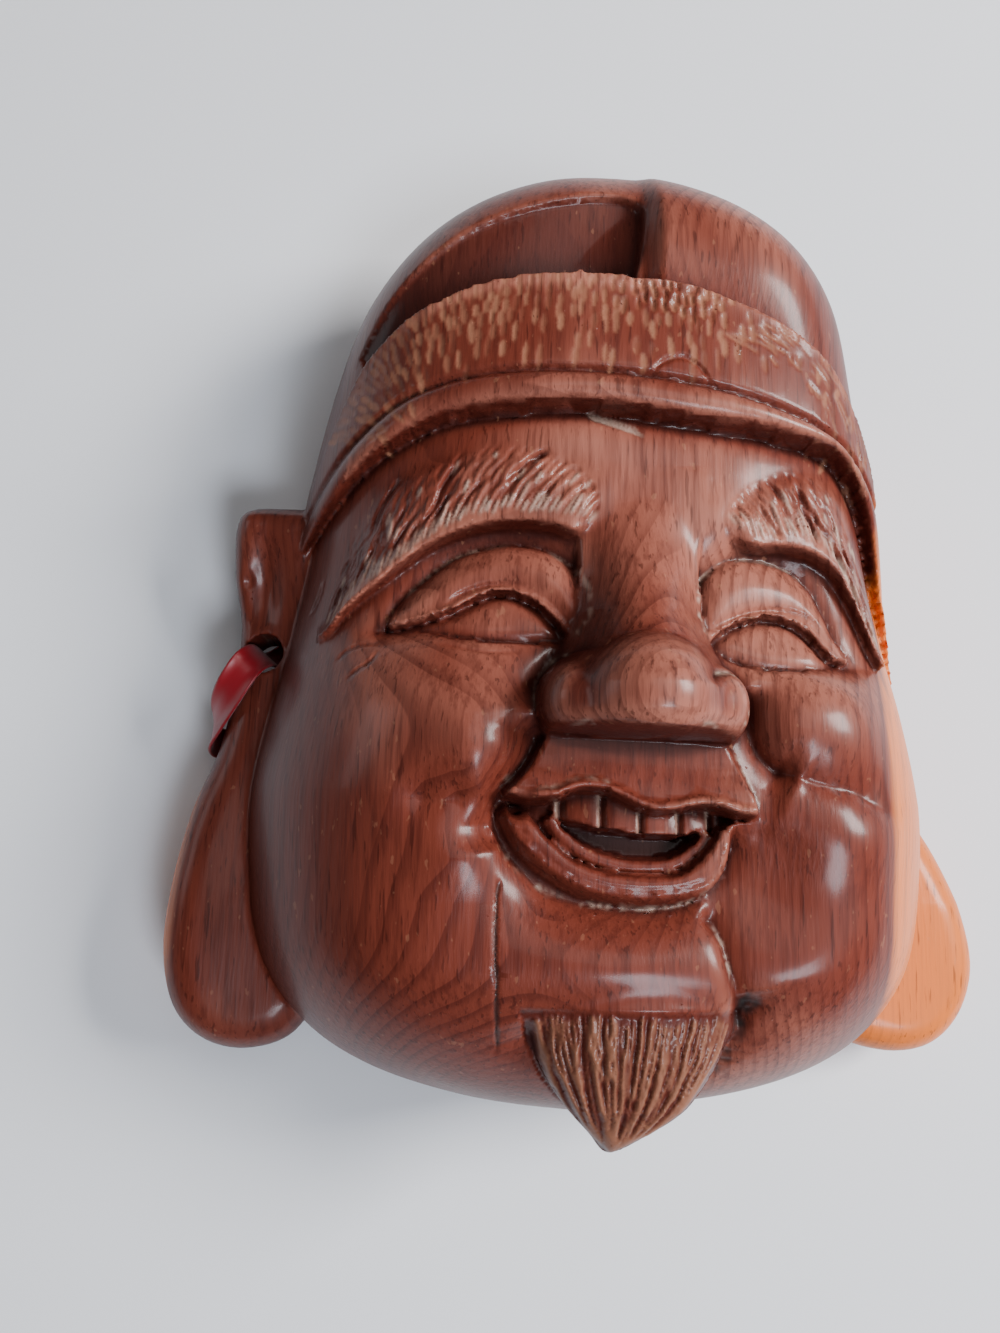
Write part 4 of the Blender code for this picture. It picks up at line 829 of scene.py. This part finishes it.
def make_mask():
    """The carved mask with its knife work, as one mesh with the marks that its colour follows, painted light
    and shade among them.
    """
    sheet = face_sheet(CARVING_STEP)
    relief, marks = fine_relief(sheet)
    field = mask_field(CARVING_STEP)
    points, quads = surface_of(field, CELL)
    mesh = bpy.data.meshes.new("mask")
    mesh.from_pydata(points.tolist(), [], quads.tolist())
    piece = bpy.data.objects.new("mask", mesh)
    bpy.context.scene.collection.objects.link(piece)
    thin = piece.modifiers.new("Fewer faces", "DECIMATE")
    thin.ratio = BASE_FACES / (2 * len(quads))
    ready = bpy.data.meshes.new_from_object(piece.evaluated_get(bpy.context.evaluated_depsgraph_get()))
    piece.modifiers.clear()
    piece.data = ready

    fine = (np.abs(relief) > 0.05) | (marks["dark"] > 0.3) | (marks["pale"] > 0.4)
    form = bmesh.new()
    form.from_mesh(ready)
    for longest, around, least in ((1.5, 1.8, 0.02), (1.0, 1.2, 0.03), (0.6, 0.7, 0.06),
                                   (FINE_EDGE, 0.45, 0.12), (FINE_EDGE, 0.35, 0.12)):
        zone = blurred(fine.astype(float), around, CARVING_STEP) > least
        middle = np.array([(edge.verts[0].co + edge.verts[1].co) / 2 for edge in form.edges])
        up = np.array([min(edge.verts[0].normal.z, edge.verts[1].normal.z) for edge in form.edges])
        wanted = sample(zone.astype(float), sheet, middle[:, 0], middle[:, 1]) > 0.5
        wanted &= (up > 0.1) & (middle[:, 2] > 15)
        long = [edge for edge, want in zip(form.edges, wanted) if want and edge.calc_length() > longest]
        bmesh.ops.subdivide_edges(form, edges=long, cuts=1)
        bmesh.ops.triangulate(form, faces=[face for face in form.faces if len(face.verts) > 3])
    form.normal_update()
    points = np.array([vertex.co for vertex in form.verts])
    up = np.array([vertex.normal.z for vertex in form.verts])
    points = onto(field, points)
    front = ramp(up, 0.12, 0.4) * (points[:, 2] > 12)
    points[:, 2] += front * sample(relief, sheet, points[:, 0], points[:, 1])
    points[:, 2] = np.maximum(points[:, 2], 0)
    form.to_mesh(ready)
    form.free()

    # Painted shade: the recess and crevice maps darken the wood in hollows and narrow creases.
    whole = sheet.height + relief
    hollow = blurred(whole, 1.8, CARVING_STEP) - whole
    narrow = blurred(whole, 0.6, CARVING_STEP) - whole
    marks["recess"] = np.clip(hollow / 2.0, -1, 1)
    marks["crevice"] = blurred(np.clip(narrow / 0.3, -1, 1), 0.3, CARVING_STEP)
    on_face = front * (np.abs(points[:, 2] - sample(whole, sheet, points[:, 0], points[:, 1])) < 2.5)
    for name, values in marks.items():
        layer = ready.attributes.new(name, "FLOAT", "POINT")
        on = on_face if name in ("recess", "crevice") else front
        layer.data.foreach_set("value", on * sample(values, sheet, points[:, 0], points[:, 1]))
    # back marks faces turned down, the bare back; steep marks steep sides, which are painted darker as
    # painted shade and dirt.
    for name, values in (("back", ramp(-up, 0.05, 0.5)), ("steep", ramp(-up, -0.75, -0.3))):
        layer = ready.attributes.new(name, "FLOAT", "POINT")
        layer.data.foreach_set("value", values)
    points = (points - SHEET_MIDDLE) * UNIT
    ready.vertices.foreach_set("co", points.ravel())
    ready.update()
    ready.shade_smooth()
    return piece


def node(tree, kind, **inputs):
    """Adds a shader node and sets its sockets; a socket given another node's output is linked."""
    made = tree.nodes.new(kind)
    for name, value in inputs.items():
        socket = made.inputs[int(name[1:])] if name[0] == "i" and name[1:].isdigit() else made.inputs[name]
        if isinstance(value, bpy.types.NodeSocket):
            tree.links.new(value, socket)
        else:
            socket.default_value = value
    return made


def mix(tree, amount, first, second):
    """One colour over another."""
    made = tree.nodes.new("ShaderNodeMix")
    made.data_type = "RGBA"
    for number, value in ((0, amount), (6, first), (7, second)):
        if isinstance(value, bpy.types.NodeSocket):
            tree.links.new(value, made.inputs[number])
        else:
            made.inputs[number].default_value = value if number == 0 else (*value, 1)
    return made.outputs[2]


def sums(tree, operation, first, second=0.0, clamp=False):
    """Arithmetic on two values of a material."""
    made = tree.nodes.new("ShaderNodeMath")
    made.operation = operation
    made.use_clamp = clamp
    for socket, value in zip(made.inputs, (first, second)):
        if isinstance(value, bpy.types.NodeSocket):
            tree.links.new(value, socket)
        else:
            socket.default_value = value
    return made.outputs[0]


def fade(tree, value, start, end):
    """0 at start, 1 at end, softly between."""
    made = tree.nodes.new("ShaderNodeMapRange")
    made.interpolation_type = "SMOOTHSTEP"
    tree.links.new(value, made.inputs[0])
    made.inputs[1].default_value = start
    made.inputs[2].default_value = end
    return made.outputs[0]


def wood_material():
    """Stained, varnished heartwood with growth rings round a pith behind the nose, and pale sapwood, with
    painted shade in hollows, creases and on steep sides, painted light on the forehead and nose, and painted
    highlights on the beard's ridges and the teeth's edges.
    """
    made = bpy.data.materials.new("mask_wood")
    made.use_nodes = True
    tree = made.node_tree
    shader = tree.nodes["Principled BSDF"]
    place = tree.nodes.new("ShaderNodeTexCoord").outputs["Object"]
    parts = node(tree, "ShaderNodeSeparateXYZ", i0=place).outputs
    mark = {}
    for name in ("recess", "crevice", "pale", "ridge", "chip", "dark", "beard", "painted_shade", "painted_light_and_wear", "steep",
                 "back"):
        layer = tree.nodes.new("ShaderNodeAttribute")
        layer.attribute_name = name
        mark[name] = layer.outputs["Fac"]

    def noise(scale, stretch, detail=3.0):
        mapped = node(tree, "ShaderNodeMapping", Vector=place)
        mapped.inputs["Scale"].default_value = stretch
        return node(tree, "ShaderNodeTexNoise", Vector=mapped.outputs[0], Scale=scale, Detail=detail)

    def plus(first, second):
        return sums(tree, "ADD", first, second)

    def times(first, second):
        return sums(tree, "MULTIPLY", first, second)

    def wobble(scale, stretch, detail, size):
        return times(plus(noise(scale, stretch, detail).outputs["Fac"], -0.5), size)

    side = plus(parts[0], PITH_LEFT)
    rise = plus(plus(parts[2], -PITH_HEIGHT), times(parts[1], PITH_LEAN))
    radius = sums(tree, "SQRT", plus(sums(tree, "POWER", side, 2.0), sums(tree, "POWER", rise, 2.0)))
    radius = plus(radius, wobble(16, (1, 0.35, 1), 2.0, 0.012))
    ring = plus(radius, wobble(60, (1, 0.15, 1), 1.0, 0.0016))
    ring = sums(tree, "FRACT", sums(tree, "DIVIDE", ring, RING_SPACING))
    late = times(fade(tree, ring, 0.45, 0.93), sums(tree, "SUBTRACT", 1.0, fade(tree, ring, 0.95, 1.0)))
    strong = fade(tree, noise(55, (1, 0.1, 1), 1.0).outputs["Fac"], 0.35, 0.7)
    late = times(late, plus(times(strong, 0.7), 0.2))

    broad = noise(24, (1, 0.6, 1)).outputs["Fac"]
    fibre = noise(950, (1, 0.05, 1))
    fibre.inputs["Roughness"].default_value = 0.6
    fibre = fibre.outputs["Fac"]
    pores = noise(1500, (1, 0.08, 1), 2.0).outputs["Fac"]
    specks = noise(700, (1, 0.5, 1), 2.0).outputs["Fac"]
    # Broad random tone, plus painted light and wear on the forehead and nose, less in recesses as painted
    # shade, turns the heartwood towards its lighter colour.
    painted_light_and_shade = plus(times(mark["painted_light_and_wear"], 0.2), times(mark["recess"], -0.2))
    painted_light_and_wear = fade(tree, plus(broad, painted_light_and_shade), 0.44, 0.70)
    heart = mix(tree, painted_light_and_wear, HEARTWOOD, HEARTWOOD_WORN_AND_LIT)
    # Late rings and fibres darken the heartwood as grain; steep sides are darkened too, as painted shade and
    # dirt.
    for amount, share in ((late, 0.6), (fade(tree, fibre, 0.45, 0.7), 0.45), (mark["steep"], 0.6)):
        heart = mix(tree, times(amount, share), heart, HEARTWOOD_DARK)
    sap = mix(tree, times(late, 0.6), SAPWOOD, SAPWOOD_RING)
    sap = mix(tree, times(fade(tree, fibre, 0.45, 0.75), 0.3), sap, SAPWOOD_RING)
    edge = plus(radius, wobble(120, (1, 0.1, 1), 3.0, 0.006))
    wood = mix(tree, fade(tree, edge, *HEARTWOOD_ENDS), heart, sap)
    painted_shade = fade(tree, mark["recess"], 0.08, 0.8)
    # Painted shade: the beard's furrows, recesses, creases, the mouth and the cap's hollow. Painted
    # highlights: the beard's ridges and the teeth's edges. The rest is grain, chips, wax and bark.
    for amount, share, colour in (
            (mark["beard"], 0.7, HEARTWOOD_DARK),
            (painted_shade, 0.6, SHADE_AND_PORE_DARK),
            (mark["painted_shade"], 0.9, SHADE_AND_PORE_DARK),
            (fade(tree, mark["crevice"], 0.2, 0.9), 0.35, SHADE_AND_PORE_DARK),
            (fade(tree, pores, 0.60, 0.70), 0.5, SHADE_AND_PORE_DARK),
            (fade(tree, specks, 0.68, 0.74), 0.18, CUT_WOOD_AND_HIGHLIGHT),
            (mark["chip"], 0.5, CUT_WOOD_AND_HIGHLIGHT),
            (mark["ridge"], 0.38, CUT_WOOD_AND_HIGHLIGHT),
            (mark["pale"], 0.6, WAX_AND_HIGHLIGHT),
            (mark["dark"], 1.0, BARK)):
        wood = mix(tree, times(amount, share), wood, colour)
    inner = mix(tree, times(late, 0.5), BACK_WOOD, BACK_RING)
    wood = mix(tree, mark["back"], wood, inner)
    tree.links.new(wood, shader.inputs["Base Color"])

    dull = plus(mark["chip"], sums(tree, "MAXIMUM", painted_shade, mark["painted_shade"]))
    dull = plus(dull, plus(mark["pale"], mark["ridge"]))
    gloss = plus(times(noise(80, (1, 0.5, 1)).outputs["Fac"], 0.18), 0.36)
    gloss = plus(gloss, times(dull, 0.2))
    gloss = sums(tree, "ADD", gloss, times(mark["back"], 0.3), clamp=True)
    tree.links.new(gloss, shader.inputs["Roughness"])
    bump = node(tree, "ShaderNodeBump", Height=plus(times(fibre, 0.6), pores), Strength=0.35, Distance=0.0002)
    tree.links.new(bump.outputs[0], shader.inputs["Normal"])
    for name, value in (("Coat Weight", 0.22), ("Coat Roughness", 0.2), ("Specular IOR Level", 0.2),
                        ("IOR", 1.42)):
        shader.inputs[name].default_value = value
    return made


mask = make_mask()
mask.data.materials.append(wood_material())
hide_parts("carved_mask")
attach(mask, "root")

# The hanging ribbon: a narrow strip of red satin, about 0.36 m long.
# It loops round the left ear, drops through the hole, lies loose in the hollow and goes round the right ear.
RIBBON_WIDTH = 0.0060
RIBBON_THICKNESS = 0.0005
RIBBON_RED = (0.24, 0.0004, 0.006)
RIBBON_SHADE = (0.16, 0.001, 0.01)

# The ribbon's middle line: place, then the direction of its width as a turn in plan and a tilt up.
# It starts at its sewn end, loops round the left ear, drops through the left hole, lies loosely on
# its edge in the hollow, and goes round the right ear to its other end.
RIBBON_LINE = [
    (-37, 5.2, 2.15, 135, 0), (-42, 2.4, 2.15, 135, 0), (-48, -2.8, 2.1, 135, 0), (-55, -9.5, 1.7, 133, 0),
    (-61.8, -15.6, 1.8, 125, 0), (-67, -19.4, 3.1, 108, 0), (-70.6, -20.8, 7.0, 88, 0),
    (-71.4, -19.6, 12.2, 80, 0), (-69.8, -16.0, 17.8, 105, 0), (-66.8, -11.4, 22.2, 132, 0),
    (-63.8, -6.8, 23.2, 138, 0), (-62.1, -4.4, 19, 139, 0), (-61.6, -4, 12, 139, 0),
    (-61.6, -4, 6.5, 139, 0), (-60, -2.2, 2.6, 135, 0), (-55, 2.4, 0.95, 128, 0), (-49, 6, 0.8, 115, 0),
    (-41.5, 8.6, 1.3, 107, 8), (-34, 10.6, 3.1, 110, 45), (-26, 15, 3.75, 120, 88),
    (-17, 24, 3.75, 130, 90), (-5, 33, 3.75, 100, 90), (9, 32, 3.75, 60, 90), (16, 21, 3.75, 10, 90),
    (10, 7, 3.75, -30, 90), (-1, -4, 3.75, -35, 90), (-5, -17, 3.75, 10, 90), (3, -28, 3.75, 60, 90),
    (17, -29, 3.75, 120, 90), (26, -20, 3.75, 140, 88), (31, -9.5, 3.6, 140, 50), (37, -3.6, 2.5, 105, 8),
    (44, -2, 2.2, 90, 0), (51, -2, 2.25, 90, 0), (55.6, -2, 3.6, 90, 0), (56.9, -2, 7.2, 90, 0),
    (57.1, -2, 11, 90, 0), (58.4, -2, 13.4, 90, 0), (61, -2, 12.7, 90, 0), (63.3, -2, 9.8, 90, 0),
    (64, -2, 6, 90, 0), (63, -2, 2.5, 90, 0), (60, -2, 0.9, 90, 0), (55, -2, 0.8, 90, 0),
    (48, -2, 0.8, 90, 0), (41, -2, 0.8, 90, 0)]


def make_ribbon():
    """A flat strip swept along the ribbon's middle line, with a thin woven edge on each side."""
    line = np.array(RIBBON_LINE, float)
    turn, tilt = np.radians(line[:, 3]), np.radians(line[:, 4])
    wide = np.stack([np.cos(turn) * np.cos(tilt), np.sin(turn) * np.cos(tilt), np.sin(tilt)], axis=1)
    places, wide = (spline(line[:, :3], 8) - SHEET_MIDDLE) * UNIT, spline(wide, 8)
    along = np.gradient(places, axis=0)
    along /= np.linalg.norm(along, axis=1)[:, None]
    wide -= (wide * along).sum(axis=1)[:, None] * along
    wide /= np.linalg.norm(wide, axis=1)[:, None]
    thick = np.cross(along, wide)
    half = RIBBON_WIDTH / 2
    shape = [(-1, 1.0), (-0.86, 1.0), (-0.84, 0.72), (-0.3, 0.66), (0.3, 0.66), (0.84, 0.72), (0.86, 1.0),
             (1, 1.0)]
    shape += [(a, -b) for a, b in reversed(shape)]
    rings = [places + wide * a * half + thick * b * RIBBON_THICKNESS / 2 for a, b in shape]
    points = np.stack(rings, axis=1)
    count, sides = points.shape[:2]
    faces = [tuple(range(sides)), tuple(sides * (count - 1) + i for i in reversed(range(sides)))]
    for i in range(count - 1):
        for j in range(sides):
            a, b = sides * i + j, sides * i + (j + 1) % sides
            faces.append((a, a + sides, b + sides, b))
    mesh = bpy.data.meshes.new("ribbon")
    mesh.from_pydata(points.reshape(-1, 3).tolist(), [], faces)
    mesh.update()
    tidy = bmesh.new()
    tidy.from_mesh(mesh)
    bmesh.ops.recalc_face_normals(tidy, faces=tidy.faces)
    tidy.to_mesh(mesh)
    tidy.free()
    mesh.shade_smooth()
    piece = bpy.data.objects.new("ribbon", mesh)
    bpy.context.scene.collection.objects.link(piece)
    return piece, places


def satin_material():
    """Dark red satin with a fine weave."""
    made = bpy.data.materials.new("ribbon_satin")
    made.use_nodes = True
    tree = made.node_tree
    shader = tree.nodes["Principled BSDF"]
    place = tree.nodes.new("ShaderNodeTexCoord").outputs["Object"]
    weave = node(tree, "ShaderNodeTexNoise", Vector=place, Scale=5200.0, Detail=1.0)
    shade = mix(tree, sums(tree, "MULTIPLY", weave.outputs["Fac"], 0.35), RIBBON_RED, RIBBON_SHADE)
    tree.links.new(shade, shader.inputs["Base Color"])
    bump = node(tree, "ShaderNodeBump", Height=weave.outputs["Fac"], Strength=0.15, Distance=0.00005)
    tree.links.new(bump.outputs[0], shader.inputs["Normal"])
    shader.inputs["Roughness"].default_value = 0.42
    shader.inputs["Sheen Weight"].default_value = 0.12
    return made


ribbon, ribbon_path = make_ribbon()
ribbon.data.materials.append(satin_material())
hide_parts("hanging_ribbon")
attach(ribbon, "root")
tuple(ribbon_path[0])
[tuple(p) for p in ribbon_path]

# The pale floor that the mask lies on. It is not part of the object.
FLOOR_COLOUR = (0.74, 0.75, 0.78)
floor_mesh = bpy.data.meshes.new("floor")
floor_mesh.from_pydata([(-2, -2, 0), (2, -2, 0), (2, 2, 0), (-2, 2, 0)], [], [(0, 1, 2, 3)])
floor = bpy.data.objects.new("floor", floor_mesh)
bpy.context.scene.collection.objects.link(floor)
floor_finish = bpy.data.materials.new("floor")
floor_finish.use_nodes = True
floor_finish.node_tree.nodes["Principled BSDF"].inputs["Base Color"].default_value = (*FLOOR_COLOUR, 1)
floor_finish.node_tree.nodes["Principled BSDF"].inputs["Roughness"].default_value = 0.9
floor_mesh.materials.append(floor_finish)
floor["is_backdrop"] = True

# Daylight: a window on the right, soft lights above and at the lower right, a weak window on the left.
sky = bpy.data.worlds.new("daylight")
bpy.context.scene.world = sky
sky.use_nodes = True
sky.node_tree.nodes["Background"].inputs[0].default_value = (0.93, 0.96, 1.0, 1)
sky.node_tree.nodes["Background"].inputs[1].default_value = 0.07
for name, turn, height, away, wide, high, power, tint in (
        ("window_right", 15, 38, 0.9, 0.34, 0.30, 15.5, (1.0, 0.98, 0.97)),
        ("ceiling_light", -58, 54, 0.9, 0.26, 0.26, 6.5, (0.84, 0.90, 1.0)),
        ("skylight", 62, 74, 0.9, 0.5, 0.5, 1.6, (1.0, 0.98, 0.97)),
        ("window_left", 168, 16, 0.8, 0.30, 0.24, 0.6, (0.93, 0.96, 1.0))):
    lamp = bpy.data.lights.new(name, "AREA")
    lamp.shape = "RECTANGLE"
    lamp.size = wide
    lamp.size_y = high
    lamp.energy = power
    lamp.color = tint
    light = bpy.data.objects.new(name, lamp)
    turn, height = math.radians(turn), math.radians(height)
    toward = Vector((math.cos(height) * math.cos(turn), math.cos(height) * math.sin(turn), math.sin(height)))
    light.location = Vector((0, 0, 0.05)) + away * toward
    light.rotation_euler = toward.to_track_quat("Z", "Y").to_euler()
    bpy.context.scene.collection.objects.link(light)

# The camera, close above the face and a little to its lower left.
lens = bpy.data.cameras.new("photo_camera")
lens.lens = 27.03
lens.sensor_width = 36
lens.clip_start = 0.01
camera = bpy.data.objects.new("photo_camera", lens)
right, up, back = (0.99798, 0.02897, 0.05653), (-0.03717, 0.98802, 0.14976), (-0.05152, -0.15156, 0.98711)
stand = Matrix((right, up, back)).transposed().to_4x4()
stand.translation = Vector((-0.02739, -0.03482, 0.21062))
camera.matrix_world = stand
bpy.context.scene.collection.objects.link(camera)
bpy.context.scene.camera = camera

low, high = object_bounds()
